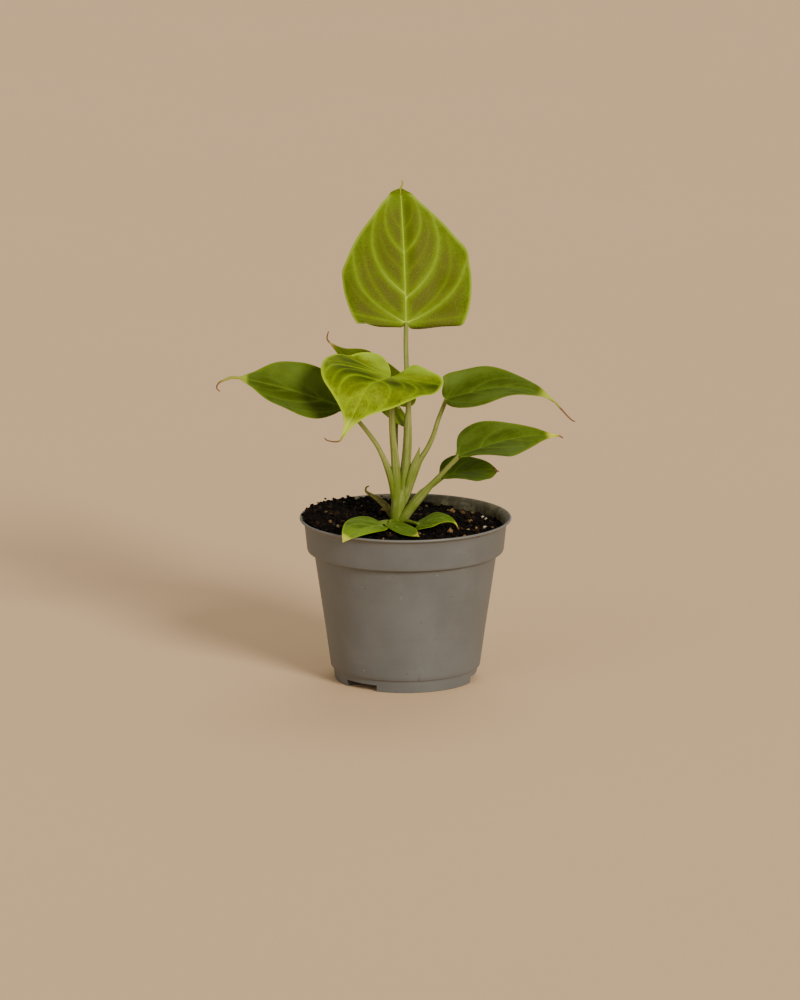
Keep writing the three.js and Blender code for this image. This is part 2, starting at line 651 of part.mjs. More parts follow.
// The blades' sizes, poses and shapes. Pairs give the left half first, as seen looking from stalk to tip.
const LEAVES = {
  leaf_top: {
    colour: "leaf",
    base: [0.4, 8.1, 203.2],
    length: 75.9, width: [35.2, 38.4], lobe: [0.115, 0.15], taper: [0.1, 0.05],
    wide: 0.33, shoulder: 0.26, point: 0.46,
    yaw: 98, pitch: 80, roll: 2, sway: 5, twist: -2,
    droop: 9, bend: 1.6, lobeBend: 80, hem: 0.4, fold: [-5, -3], curl: [-12, -1],
    bulges: [[0, 0.055, 0.035, 1.3], [0, 0.13, 0.05, 1], [0, 0.5, 0.04, 0.8], [1, 0.42, 0.05, 2]],
    thread: [[1.2, 0, 2.2, 0.5], [1, 0, 4.6, 0.4]],
  },
  leaf_front: {
    colour: "lime",
    base: [-8.7, -6.4, 174.9],
    length: 62, width: [35.5, 34], lobe: [0.225, 0.265], taper: [0.5, 0.1],
    wide: 0.27, shoulder: 0.28, point: 1.6,
    yaw: -114.5, pitch: 2, roll: 9, sway: -14.5, twist: 8,
    droop: 5, bend: 1.7, knee: [0.425, 0.12, 45], lobeBend: -43, hem: 0.6,
    fold: [6.5, 8.5], curl: [-0.5, -0.2], bulges: [[0, 0.69, 0.045, 3], [1, 0.6, 0.05, 0.8]],
    thread: [
      [-1.4, 0, -1.9, 0.5], [-3.8, 0, -2.4, 0.45], [-6.2, 0, -2.2, 0.4], [-8.7, 0, -1.4, 0.4],
      [-9.9, 0, -0.3, 0.4],
    ],
  },
  leaf_left: {
    colour: "leaf",
    base: [-34.3, -4.4, 157.2],
    length: 62.4, width: [19, 22], lobe: [0.005, 0.035], taper: [0.9, 0.6],
    wide: 0.42, shoulder: 0.25, point: 0.57,
    yaw: 182.5, pitch: 20, roll: 34, sway: 5, twist: 0,
    droop: 9, bend: 1.8, lobeBend: 14, fold: [-11, -5], curl: [27, 22],
    thread: [
      [-4, 0, 0.2, 0.9], [-7.4, 0, -1, 0.75], [-10.8, 0, -2.6, 0.55], [-12.3, 0, -4.6, 0.45],
      [-12.2, 0, -6.4, 0.4], [-10.6, 0, -7.8, 0.4],
    ],
  },
  leaf_back: {
    colour: "leaf",
    base: [-4.1, 20.7, 153],
    length: 52.4, width: [18.5, 21.5], lobe: [0.24, 0.14],
    wide: 0.29, shoulder: 0.4, point: 0.91,
    yaw: 176, pitch: 43, roll: 27, sway: 8, twist: 7,
    droop: 0, bend: 1.5, lobeBend: -9, fold: [-4, 6], curl: [27, -4],
    thread: [[-1.8, 0, 2.2, 0.5], [-1.8, 0, 4.7, 0.4], [-1.1, 0, 6.9, 0.4]],
  },
  leaf_right_upper: {
    colour: "leaf",
    base: [23.1, 2.2, 160.7],
    length: 65, width: [18, 18], lobe: [0.055, 0.005], taper: [0.13, 0.5],
    wide: 0.26, shoulder: 0.25, point: 0.87,
    yaw: -4.7, pitch: 17, roll: -28, sway: -1.5, twist: 12,
    droop: 59, bend: 2.2, lobeBend: -25, fold: [7, 12], curl: [14, -6], bulges: [[0, 0.68, 0.07, 1.8]],
    thread: [
      [2, 0, -2.4, 0.6], [4.8, 0, -5.5, 0.5], [7.1, 0, -8.1, 0.45], [9.3, 0, -10, 0.4],
      [10.9, 0, -10.7, 0.4],
    ],
  },
  leaf_right_middle: {
    colour: "leaf",
    base: [30, -11.5, 130.7],
    length: 66.5, width: [19, 21], lobe: [0.012, 0.01], taper: [0.95, 0.9],
    wide: 0.27, shoulder: 0.18, point: 1.08,
    yaw: 30, pitch: 13.4, roll: -19, sway: -2.5, twist: -44.5,
    droop: 24.7, bend: 1.6, lobeBend: -3.5, fold: [0.5, 26.5], curl: [-7.5, 6.5],
    thread: [[1.7, 0, -1.2, 0.4]],
  },
  leaf_right_lower: {
    colour: "shade",
    base: [20.8, 8.8, 113.6],
    length: 34.6, width: [15.6, 17.6], lobe: [0.04, 0.013], taper: [0.87, 0.8],
    wide: 0.33, shoulder: 0.18, point: 0.39,
    yaw: 23, pitch: 10.4, roll: -15, sway: 2, twist: -27,
    droop: 24.5, bend: 1.8, lobeBend: 0, fold: [1, 21.5], curl: [-1, 7],
    thread: [[1, 0, -0.8, 0.4]],
  },
  small_leaf_left: {
    colour: "small",
    base: [-13.4, -21.1, 92.6],
    length: 48.6, width: [5.6, 10.4], lobe: [0.03, 0.05],
    wide: 0.32, shoulder: 0.35, point: 0.47,
    yaw: -118, pitch: 9, roll: 18, sway: 3, twist: 6,
    droop: 26, bend: 2.1, lobeBend: 4, fold: [-3, 14], curl: [0, -11],
  },
  small_leaf_front: {
    colour: "small",
    base: [-8.8, -13.5, 92.1],
    length: 35.2, width: [5.3, 4.9], lobe: [0.06, 0.02],
    wide: 0.36, shoulder: 0.46, point: 0.69,
    yaw: -63, pitch: -1, roll: -14, sway: 2, twist: -14,
    droop: -1, bend: 2.0, lobeBend: -16, fold: [11, 11], curl: [-21, 5],
  },
  small_leaf_right: {
    colour: "small",
    base: [7.6, -15.5, 91.8],
    length: 24.9, width: [10.1, 10.1], lobe: [0.05, 0.07],
    wide: 0.28, shoulder: 0.19, point: 1.17,
    yaw: -8, pitch: 25, roll: -7, sway: 8, twist: -12,
    droop: 99, bend: 2.4, lobeBend: -12, fold: [2, 1], curl: [-7, -3],
    thread: [[0.8, 0, -1.2, 0.4]],
  },
};

// The dried sheath leaf beside the stem, as [x, y, z, radius]
const DRIED = [
  [-7.6, 1.4, 93, 1.8], [-10.5, 4, 97.4, 1.9], [-14.5, 7, 100.6, 1.5], [-19, 10, 103, 1.1],
  [-22, 11.2, 104.6, 0.8], [-22.4, 11.4, 106.6, 0.6], [-20.8, 11, 108, 0.5],
];
const DRIED_FLATNESS = 0.5;

// A dried drip tip: a thread that goes on from the end of the midrib, by steps from the tip
function dripThread(leaf) {
  const rootAt = 0.96;
  const tip = spinePoint(leaf, leaf.length);
  const inner = spinePoint(leaf, leaf.length * rootAt);
  const points = leaf.thread.map(([x, y, z, radius]) => [tip.x + x, tip.y + y, tip.z + z, radius]);
  const start = points[0][3];
  const root = [
    [inner.x, inner.y, inner.z, start * 0.8],
    [tip.x, tip.y, tip.z, start],
  ];
  return stalk([...root, ...points], points.length + 2, 5);
}

function makeLeaf(leaf, small, clearance) {
  let solid = blade(leaf, small ? BLADE.smallRows : BLADE.rows, BLADE.columns);
  if (leaf.thread) {
    solid = solid.add(dripThread(leaf));
  }
  return largest(solid.subtract(clearance));
}

// Assembly

const plant = new THREE.Group();

function addPiece(name, solid, colour, roughness) {
  const material = new THREE.MeshStandardMaterial({ color: colour, roughness, metalness: 0 });
  const mesh = new THREE.Mesh(toGeometry(solid), material);
  mesh.name = name;
  plant.add(mesh);
}

const stalkClearance = makeStalks(GAP);
addPiece("pot", makePot(), COLOURS.pot, 0.55);
addPiece("soil", makeSoil(), COLOURS.soil, 0.95);
addPiece("stem_and_petioles", makeStalks(0), COLOURS.stalk, 0.5);
for (const [name, leaf] of Object.entries(LEAVES)) {
  addPiece(name, makeLeaf(leaf, name.startsWith("small"), stalkClearance), COLOURS[leaf.colour], 0.45);
}
const dried = stalk(DRIED, 14, 8, DRIED_FLATNESS);
addPiece("dried_leaf", largest(dried.subtract(stalkClearance)), COLOURS.dried, 0.7);

export default plant;
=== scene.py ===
"""A young velvet philodendron in a grey plastic nursery pot.

Shapes are worked out in millimetres, with +Z up and the origin under the middle of the pot.
They go into the meshes in metres.
"""

import bmesh
import bpy
import numpy as np
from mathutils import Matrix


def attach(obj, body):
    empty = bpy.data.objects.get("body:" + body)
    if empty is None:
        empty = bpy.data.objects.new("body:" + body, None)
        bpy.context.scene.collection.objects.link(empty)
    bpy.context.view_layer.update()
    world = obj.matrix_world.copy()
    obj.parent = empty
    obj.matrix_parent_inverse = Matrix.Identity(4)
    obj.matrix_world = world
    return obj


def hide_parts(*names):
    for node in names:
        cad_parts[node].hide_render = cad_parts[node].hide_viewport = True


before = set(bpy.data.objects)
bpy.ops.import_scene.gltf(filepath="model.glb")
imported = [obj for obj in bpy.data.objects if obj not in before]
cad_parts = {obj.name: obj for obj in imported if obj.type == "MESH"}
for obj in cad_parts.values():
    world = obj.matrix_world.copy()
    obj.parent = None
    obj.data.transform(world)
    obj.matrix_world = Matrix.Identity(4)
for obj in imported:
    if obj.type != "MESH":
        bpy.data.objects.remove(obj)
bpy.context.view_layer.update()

MM = 0.001
WELD_DISTANCE = 0.004
LEAST_EDGE = 0.001


# Meshes


def grid(points, finish=0, wrap=False, flip=False, **marks):
    """One surface of a piece: rows by columns of points, the number of its finish, and the marks
    that the finish reads. Leading axes hold copies of the surface."""
    return {"points": points, "finish": finish, "wrap": wrap, "flip": flip, "marks": marks}


def quads(rows, columns, wrap, flip):
    """Faces of a grid: a point, the next in its row, the one above that, the one above the first."""
    i, j = np.meshgrid(np.arange(rows - 1), np.arange(columns - (not wrap)), indexing="ij")
    after = (j + 1) % columns
    corners = [i * columns + j, i * columns + after, (i + 1) * columns + after, (i + 1) * columns + j]
    faces = np.stack(corners, -1).reshape(-1, 4)
    return faces[:, ::-1] if flip else faces


def add_object(name, data):
    """An object with that data, at the scene's origin."""
    new = bpy.data.objects.new(name, data)
    bpy.context.scene.collection.objects.link(new)
    return new


def make_piece(name, grids, finishes, slot, nodes=(), sharp=50):
    """Joins grids into one mesh, welds the edges that they share, and hands it to the frame."""
    faces, kinds, first = [], [], 0
    for part in grids:
        rows, columns = part["points"].shape[-3:-1]
        each = rows * columns
        copies = part["points"].size // (3 * each)
        corners = quads(rows, columns, part["wrap"], part["flip"])
        shifted = corners[None] + (np.arange(copies) * each)[:, None, None] + first
        faces.append(shifted.reshape(-1, 4))
        kinds.append(np.full(len(faces[-1]), part["finish"]))
        first += copies * each
    points = np.concatenate([part["points"].reshape(-1, 3) for part in grids]) * MM
    mesh = bpy.data.meshes.new(name)
    mesh.from_pydata(points, [], np.concatenate(faces))
    mesh.polygons.foreach_set("material_index", np.concatenate(kinds))
    for mark in sorted({key for part in grids for key in part["marks"]}):
        values = []
        for part in grids:
            shape = part["points"].shape
            values.append(np.broadcast_to(part["marks"].get(mark, np.zeros(3)), shape).reshape(-1, 3))
        layer = mesh.attributes.new(mark, "FLOAT_VECTOR", "POINT")
        layer.data.foreach_set("vector", np.concatenate(values).ravel())
    shell = bmesh.new()
    shell.from_mesh(mesh)
    bmesh.ops.remove_doubles(shell, verts=shell.verts, dist=WELD_DISTANCE * MM)
    bmesh.ops.dissolve_degenerate(shell, edges=shell.edges, dist=LEAST_EDGE * MM)
    bmesh.ops.recalc_face_normals(shell, faces=shell.faces)
    shell.to_mesh(mesh)
    shell.free()
    mesh.shade_smooth()
    mesh.set_sharp_from_angle(angle=np.radians(sharp))
    piece = add_object(name, mesh)
    for finish in finishes:
        mesh.materials.append(finish)
    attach(piece, "root")
    if nodes:
        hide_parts(*nodes)
    return piece


def stack(*values):
    """Three values side by side as the last axis, each spread to the common shape."""
    return np.stack(np.broadcast_arrays(*values), -1)


def smooth_step(value, low, high):
    """0 below low, 1 above high, and the curve 3u^2 - 2u^3 between them."""
    share = np.clip((value - low) / (high - low), 0, 1)
    return share * share * (3 - 2 * share)


def bell(distance, spread):
    """1 at no distance, and e^-1 at the spread."""
    return np.exp(-((distance / spread) ** 2))


def unit(vectors):
    """Each vector over its own length."""
    return vectors / np.linalg.norm(vectors, axis=-1, keepdims=True)


# Finishes


def colour(red, green, blue):
    """A linear colour from three screen values of 0 to 255."""
    share = np.array([red, green, blue]) / 255
    linear = np.where(share <= 0.04045, share / 12.92, ((share + 0.055) / 1.055) ** 2.4)
    return (*linear.tolist(), 1.0)


class Finish:
    """A material that is put together node by node. Its constants go on the shader's own sockets."""

    def __init__(self, name, constants):
        self.material = bpy.data.materials.new(name)
        self.material.use_nodes = True
        self.tree = self.material.node_tree
        self.shader = self.tree.nodes["Principled BSDF"]
        self.here = self.node("TexCoord").outputs["Object"]
        for socket, value in constants.items():
            self.shader.inputs[socket].default_value = value

    def node(self, kind, inputs=None, **settings):
        """A node with those settings. An input is a number, a colour or another node's output."""
        new = self.tree.nodes.new("ShaderNode" + kind)
        for key, value in settings.items():
            setattr(new, key, value)
        for key, value in (inputs or {}).items():
            if isinstance(value, bpy.types.NodeSocket):
                self.tree.links.new(value, new.inputs[key])
            else:
                new.inputs[key].default_value = value
        return new

    def vector(self, name):
        """A mark on the mesh, as one vector."""
        return self.node("Attribute", attribute_name=name).outputs["Vector"]

    def mark(self, name):
        """The three values of a mark on the mesh."""
        return self.node("SeparateXYZ", {0: self.vector(name)}).outputs

    def place(self):
        """The three coordinates of the point on the object."""
        return self.node("SeparateXYZ", {0: self.here}).outputs

    def math(self, operation, one, two=0.0, clamp=False):
        return self.node("Math", {0: one, 1: two}, operation=operation, use_clamp=clamp).outputs[0]

    def times(self, one, two, clamp=False):
        return self.math("MULTIPLY", one, two, clamp)

    def plus(self, one, two):
        return self.math("ADD", one, two)

    def minus(self, one, two):
        return self.math("SUBTRACT", one, two)

    def sine(self, value):
        return self.math("SINE", value)

    def root(self, value):
        return self.math("SQRT", value)

    def mix(self, share, one, two):
        """The first colour where the share is 0, the second where it is 1."""
        return self.node("Mix", {0: share, 6: one, 7: two}, data_type="RGBA").outputs[2]

    def coat(self, share, tint):
        """Another colour over the paint, as far as the share says."""
        self.paint = self.mix(share, self.paint, tint)

    def ramp(self, value, low, high, start=0.0, end=1.0):
        """start below low, end above high, and a soft step between them."""
        inputs = {0: value, 1: low, 2: high, 3: start, 4: end}
        return self.node("MapRange", inputs, interpolation_type="SMOOTHSTEP").outputs[0]

    def stretched(self, vector, scale):
        """Places multiplied by a scale on each axis: a pattern is drawn out where it is small."""
        return self.node("Mapping", {"Vector": vector, "Scale": scale}).outputs[0]

    def noise(self, scale, detail=3.0, rough=0.55, at=None):
        """Soft noise about 0.5, on the object's coordinates unless other places are given."""
        inputs = {"Vector": at or self.here, "Scale": scale, "Detail": detail, "Roughness": rough}
        return self.node("TexNoise", inputs).outputs[0]

    def cells(self, scale, at=None, feature="F1"):
        """Scattered cells: the first output is the distance to the middle, or to the edge."""
        inputs = {"Vector": at or self.here, "Scale": scale}
        return self.node("TexVoronoi", inputs, feature=feature).outputs

    def done(self, roughness, height, distance, strength=1.0):
        """Links the paint, the roughness and a relief of that height, in millimetres."""
        inputs = {"Height": height, "Distance": distance * MM, "Strength": strength}
        bump = self.node("Bump", inputs).outputs[0]
        for value, socket in ((self.paint, "Base Color"), (roughness, "Roughness"), (bump, "Normal")):
            self.tree.links.new(value, self.shader.inputs[socket])
        return self.material


def leaf_finish(
    name, between, dark, pale, vein, rib, margin, tip, bronze,
    inner_share=0.5, vein_share=0.8, tip_from=0.9,
):
    """A blade's upper face: light veins with wide soft flanks on a ground that turns bronze away
    from them, a net of the finest veins, a light margin, a yellowing tip and a velvety grain.
    The tone mark darkens the ground where it is above 0, as painted shade that in places is also the
    blade's own darker green, and pales it as painted light where it is below."""
    shine = {"Specular IOR Level": 0.05, "Specular Tint": colour(220, 235, 60)}
    velvet = {"Sheen Weight": 0.01, "Sheen Roughness": 0.4, "Sheen Tint": colour(190, 215, 50)}
    f = Finish(name, {**shine, **velvet})
    glow, line, phase = f.mark("veins")
    edge, along, out = f.mark("place")
    tone = f.mark("tone")[0]
    flat = f.vector("flat")
    patches = f.ramp(f.noise(0.11, 4.0, 0.6, flat), 0.32, 0.6, 0.25, 1.0)
    f.paint = f.mix(patches, dark, between)
    mesh = f.cells(0.85, f.stretched(flat, (1.0, 0.75, 1.0)), "DISTANCE_TO_EDGE")[0]
    net = f.ramp(mesh, 0.12, 0.02)
    mottle = f.ramp(f.noise(0.14, 5.0, 0.6, flat), 0.34, 0.54, 0.65, 1.0)
    inner = f.times(f.ramp(out, 0.97, 0.74), f.ramp(along, 0.95, 0.8))
    inner = f.times(inner, f.ramp(glow, 0.7, 0.1))
    f.coat(f.times(inner, f.times(mottle, inner_share)), bronze)
    fine = f.sine(f.times(phase, 300.0))
    hair = f.noise(1.7, 4.0, 0.7, f.stretched(flat, (1.0, 0.6, 1.0)))
    f.coat(f.times(net, 0.24), vein)
    f.coat(f.ramp(fine, 0.5, 1.0, 0.0, 0.06), vein)
    f.coat(f.ramp(hair, 0.46, 0.62, 0.0, 0.5), dark)
    # Painted shade where the tone is above 0, painted light where it is below.
    f.coat(f.times(tone, 1.0, clamp=True), dark)
    f.coat(f.times(tone, -1.0, clamp=True), pale)
    soft = f.ramp(f.noise(0.3, 3.0, 0.5, flat), 0.3, 0.6, 0.65, 1.0)
    f.coat(f.times(f.times(glow, soft), 0.6 * vein_share), vein)
    f.coat(f.times(f.ramp(line, 0.05, 0.8, 0.0, 0.8 * vein_share), soft), vein)
    f.coat(f.ramp(line, 0.72, 0.97, 0.0, vein_share), rib)
    f.coat(f.ramp(edge, 0.0, 1.0, 0.0, 0.8), margin)
    f.coat(f.ramp(along, tip_from, 0.5 + 0.5 * tip_from), tip)
    grain = f.noise(2.6, 4.0, 0.6, flat)
    roughness = f.ramp(grain, 0.3, 0.7, 0.44, 0.6)
    height = f.plus(grain, f.times(fine, 0.12))
    height = f.minus(height, f.times(net, 0.35))
    return f.done(roughness, height, 0.14, 0.8)


def under_finish(name, ground, vein, tip):
    """A blade's lower face: pale and matt, with raised veins lighter than the ground."""
    f = Finish(name, {"Specular IOR Level": 0.2, "Specular Tint": colour(225, 235, 150)})
    glow, line, phase = f.mark("veins")
    along = f.mark("place")[1]
    flat = f.vector("flat")
    patches = f.ramp(f.noise(0.12, 4.0, 0.6, flat), 0.3, 0.7, 0.0, 0.35)
    f.paint = f.mix(patches, ground, vein)
    f.coat(f.times(glow, 0.55), vein)
    f.coat(f.times(line, 0.5), tip)
    f.coat(f.ramp(along, 0.86, 1.0), tip)
    grain = f.noise(2.0, 4.0, 0.6, flat)
    fine = f.sine(f.times(phase, 230.0))
    height = f.plus(grain, f.times(fine, 0.15))
    return f.done(f.ramp(grain, 0.3, 0.7, 0.5, 0.66), height, 0.12, 0.6)


def stalk_finish(name, pale, green, dark, fresh):
    """A stalk's skin: fine streaks that run lengthwise, fresh green low down in the fork
    of the stalks, with a few dark specks."""
    f = Finish(name, {"Specular IOR Level": 0.3, "Specular Tint": colour(235, 240, 170)})
    round_place = f.vector("round")
    streak = f.noise(3.2, 4.0, 0.6, f.stretched(round_place, (1.0, 1.0, 0.018)))
    line = f.noise(9.0, 2.0, 0.5, f.stretched(round_place, (1.0, 1.0, 0.01)))
    blotch = f.noise(260.0, 3.0, 0.5)
    f.paint = f.mix(f.ramp(streak, 0.36, 0.62), green, pale)
    f.coat(f.ramp(line, 0.5, 0.68, 0.0, 0.4), dark)
    f.coat(f.ramp(blotch, 0.55, 0.75, 0.0, 0.4), dark)
    z = f.place()[2]
    low = f.times(f.ramp(z, 0.128, 0.112), f.ramp(z, 0.084, 0.092))
    fork = f.times(low, f.ramp(f.noise(70.0, 2.0), 0.34, 0.56, 0.25, 1.0))
    f.coat(f.times(fork, 0.75), fresh)
    speck = f.ramp(f.cells(420.0)[0], 0.09, 0.05, 0.0, 0.7)
    speck = f.times(speck, f.ramp(f.noise(90.0), 0.56, 0.62))
    f.coat(speck, colour(70, 52, 26))
    height = f.plus(streak, f.times(line, 0.6))
    return f.done(f.ramp(streak, 0.3, 0.7, 0.42, 0.56), height, 0.22, 0.8)


def thread_finish(name, fresh, light, dark):
    """A drip tip's thread: it keeps the leaf's colour from its root up to the share of its length
    that the run mark gives, and is dried and wrinkled from there on."""
    f = Finish(name, {"Specular IOR Level": 0.2})
    round_place = f.vector("round")
    share, start = f.mark("run")[:2]
    wrinkle = f.noise(3.0, 5.0, 0.65, f.stretched(round_place, (1.0, 1.0, 0.08)))
    dried = f.mix(f.ramp(wrinkle, 0.35, 0.65), dark, light)
    past = f.minus(share, start)
    f.paint = f.mix(f.ramp(past, -0.06, 0.12), fresh, dried)
    return f.done(f.ramp(wrinkle, 0.3, 0.7, 0.55, 0.8), wrinkle, 0.2, 0.7)


def dried_finish(name, light, dark):
    """Dried skin: brown, with long dark wrinkles."""
    f = Finish(name, {"Specular IOR Level": 0.3})
    round_place = f.vector("round")
    wrinkle = f.noise(3.0, 5.0, 0.65, f.stretched(round_place, (1.0, 1.0, 0.05)))
    f.paint = f.mix(f.ramp(wrinkle, 0.35, 0.65), dark, light)
    f.coat(f.ramp(f.noise(500.0, 4.0), 0.4, 0.7, 0.0, 0.5), dark)
    return f.done(f.ramp(wrinkle, 0.3, 0.7, 0.6, 0.85), wrinkle, 0.4, 0.8)


# Marks on the pot's outside: where they are, half their width and height, all in millimetres
PALE_MARK, SOIL_MARK, TAN_MARK = colour(158, 156, 150), colour(58, 44, 30), colour(168, 146, 104)
POT_MARKS = (
    ((-2.5, -49.4, 58), (0.16, 3.4), PALE_MARK), ((17.9, -48.1, 70.1), (0.35, 0.35), PALE_MARK),
    ((8.8, -46.4, 42.4), (0.4, 0.3), SOIL_MARK), ((-23.4, -36.1, 12.2), (0.5, 0.35), TAN_MARK),
    ((25.8, -42.1, 56.5), (0.35, 0.4), SOIL_MARK), ((-22.9, -44.6, 61.8), (0.4, 0.3), SOIL_MARK),
    ((0.9, -43, 12), (0.5, 0.3), SOIL_MARK), ((41.1, -41.6, 90.6), (1.3, 1.0), SOIL_MARK),
    ((-49.5, -31.4, 91.4), (1.1, 0.8), SOIL_MARK), ((33, -48.6, 91.2), (0.8, 0.7), SOIL_MARK),
)


def pot_finish():
    """Matt grey moulded plastic: a fine flow grain, faint turning marks, dust, a lighter band along
    the outer top of the lip, soil splashes under the rim, and painted shade in each channel of the
    foot, with a near-black painted disc for its outlet."""
    f = Finish("grey nursery plastic", {"Specular IOR Level": 0.42})
    x, y, z = f.place()
    flow = f.noise(34.0, 5.0, 0.55)
    f.paint = f.mix(f.ramp(flow, 0.3, 0.7), colour(97, 99, 97), colour(106, 108, 106))
    rings = f.noise(40.0, 3.0, 0.5, f.stretched(f.here, (0.4, 0.4, 60.0)))
    f.coat(f.ramp(rings, 0.5, 0.75, 0.0, 0.18), colour(118, 120, 117))
    grain = f.noise(1500.0, 2.0, 0.6)
    f.coat(f.ramp(grain, 0.5, 0.8, 0.0, 0.18), colour(86, 82, 74))
    dust = f.ramp(f.noise(58.0, 6.0, 0.7), 0.55, 0.74, 0.0, 0.2)
    f.coat(dust, colour(132, 132, 124))
    speck = f.ramp(f.cells(190.0)[0], 0.075, 0.045)
    speck = f.times(speck, f.ramp(f.noise(30.0, 2.0), 0.52, 0.6))
    f.coat(f.times(speck, 0.6), colour(88, 70, 46))
    scratch = f.noise(60.0, 2.0, 0.4, f.stretched(f.here, (9.0, 9.0, 0.55)))
    scratch = f.times(f.ramp(scratch, 0.71, 0.76), f.ramp(f.noise(25.0), 0.5, 0.6))
    f.coat(f.times(scratch, 0.5), colour(66, 62, 56))
    rim = f.ramp(z, 0.0915, 0.0928)
    splash = f.times(rim, f.ramp(f.noise(120.0, 5.0, 0.7), 0.56, 0.7))
    f.coat(f.times(splash, 0.3), colour(58, 48, 36))
    radial = f.root(f.plus(f.times(x, x), f.times(y, y)))
    # Lighter along the outer top of the lip.
    lighter_lip = f.times(f.ramp(radial, 0.0585, 0.0597), f.ramp(z, 0.0915, 0.0922))
    f.coat(f.times(lighter_lip, 0.35), colour(136, 132, 122))
    inside = f.mark("skin")[0]
    soiled = f.times(inside, f.ramp(f.noise(190.0, 6.0, 0.7), 0.42, 0.56))
    film = f.ramp(f.noise(60.0, 4.0, 0.6), 0.36, 0.62, 0.6, 0.95)
    film = f.times(film, f.ramp(radial, 0.0595, 0.0589))
    f.coat(f.times(inside, film), colour(112, 104, 62))
    f.coat(f.times(soiled, 0.65), colour(44, 35, 22))
    for at, (wide, tall), tone in POT_MARKS:
        place = f.node("VectorMath", {0: f.here, 1: [MM * value for value in at]}, operation="SUBTRACT")
        reach = f.stretched(place.outputs[0], (1 / wide, 1 / wide, 1 / tall))
        size = f.node("VectorMath", {0: reach}, operation="LENGTH").outputs["Value"]
        ragged = f.plus(size, f.times(f.noise(900.0, 3.0, 0.6), 0.6 * MM))
        f.coat(f.ramp(ragged, 1.35 * MM, 1.0 * MM, 0.0, 0.8), tone)
    # Painted shade on the channel roofs of the foot, and a near-black painted disc for each outlet.
    painted_channel_shade = f.mark("skin")[1]
    f.coat(painted_channel_shade, colour(14, 11, 9))
    roughness = f.ramp(flow, 0.3, 0.7, 0.46, 0.58)
    roughness = f.plus(roughness, f.times(dust, 0.5))
    height = f.plus(f.times(grain, 0.5), f.times(rings, 0.35))
    height = f.minus(height, scratch)
    return f.done(roughness, height, 0.08, 0.6)


def soil_finish(name):
    """Damp peat: near-black crumbs with brown and rusty ones among them."""
    f = Finish(name, {"Specular IOR Level": 0.08})
    crumb = f.noise(420.0, 6.0, 0.7)
    wide = f.noise(70.0, 4.0, 0.6)
    f.paint = f.mix(f.ramp(crumb, 0.38, 0.72), colour(5, 4, 3), colour(22, 15, 9))
    f.coat(f.ramp(wide, 0.5, 0.7, 0.0, 0.35), colour(38, 26, 15))
    rusty = f.ramp(f.cells(900.0)[0], 0.22, 0.08)
    rusty = f.times(rusty, f.ramp(f.noise(210.0), 0.52, 0.64))
    f.coat(rusty, colour(118, 86, 50))
    height = f.plus(crumb, f.times(f.noise(1600.0, 3.0), 0.4))
    return f.done(f.ramp(crumb, 0.3, 0.7, 0.75, 0.98), height, 0.8, 0.8)


def crumb_finish(name):
    """Crumbs and grains: each one's tone runs from black peat over bark and tan wood to pale
    grains, with pits and stains."""
    f = Finish(name, {"Specular IOR Level": 0.08})
    tone, shade = f.mark("tone")[:2]
    bark = f.mix(f.ramp(tone, 0.2, 0.45), colour(11, 8, 5), colour(48, 33, 20))
    wood = f.mix(f.ramp(tone, 0.5, 0.7), bark, colour(150, 118, 76))
    grain = f.mix(f.ramp(tone, 0.8, 0.97), wood, colour(206, 192, 158))
    stain = f.noise(900.0, 5.0, 0.7)
    f.paint = f.mix(f.ramp(stain, 0.48, 0.72, 0.0, 0.6), grain, colour(46, 33, 22))
    f.coat(f.times(shade, 0.4), colour(20, 15, 11))
    return f.done(f.ramp(stain, 0.3, 0.7, 0.7, 0.95), stain, 0.5, 0.8)


# Leaf blades, laid out flat first: y runs along the midrib from the stalk to the tip, x across

WIDEST = 0.55
LOBE_FOOT = 0.82
RIB_FOOT = 0.42
HALF_THICKNESS = 0.24
MARGIN_WAVES = 3.2
WAVE_HEIGHT = 0.9
FULL_WAVE_WIDTH = 25
USUAL_LENGTH = 70
LEAST_CURL = 0.01
SPINE_STEPS = 60, 240
MARGIN_BAND = 1.5
MAIN_VEINS = ((0.13, 0.3), (0.2, 0.7), (0.33, 1.0), (0.505, 0.9), (0.65, 0.6), (0.82, 0.45))
LESSER_VEINS = ((0.26, 0.3), (0.41, 0.4), (0.58, 0.35), (0.74, 0.25), (0.91, 0.2))
VEIN_TURN = 5
SWEEP, SWEEP_FROM, SWEEP_FADE = 0.17, 0.35, 0.3
# Half widths in millimetres: a faint vein's, and what a full one adds
VEIN_GLOW, VEIN_CORE = (0.9, 1.4), (0.5, 0.4)
# The midrib's half width at the stalk, what it loses to the tip, and its core's share of it
RIB_GLOW, RIB_LOSS, RIB_CORE = 2.3, 1.5, 0.36
EDGE_COLUMNS = (0.992, 1.0)


def cubic(a, b, c, d, u):
    """A curve from a to d that leaves towards b and arrives from c: the cubic Bernstein sum."""
    v = 1 - u
    return a * v**3 + 3 * b * v * v * u + 3 * c * v * u * u + d * u**3


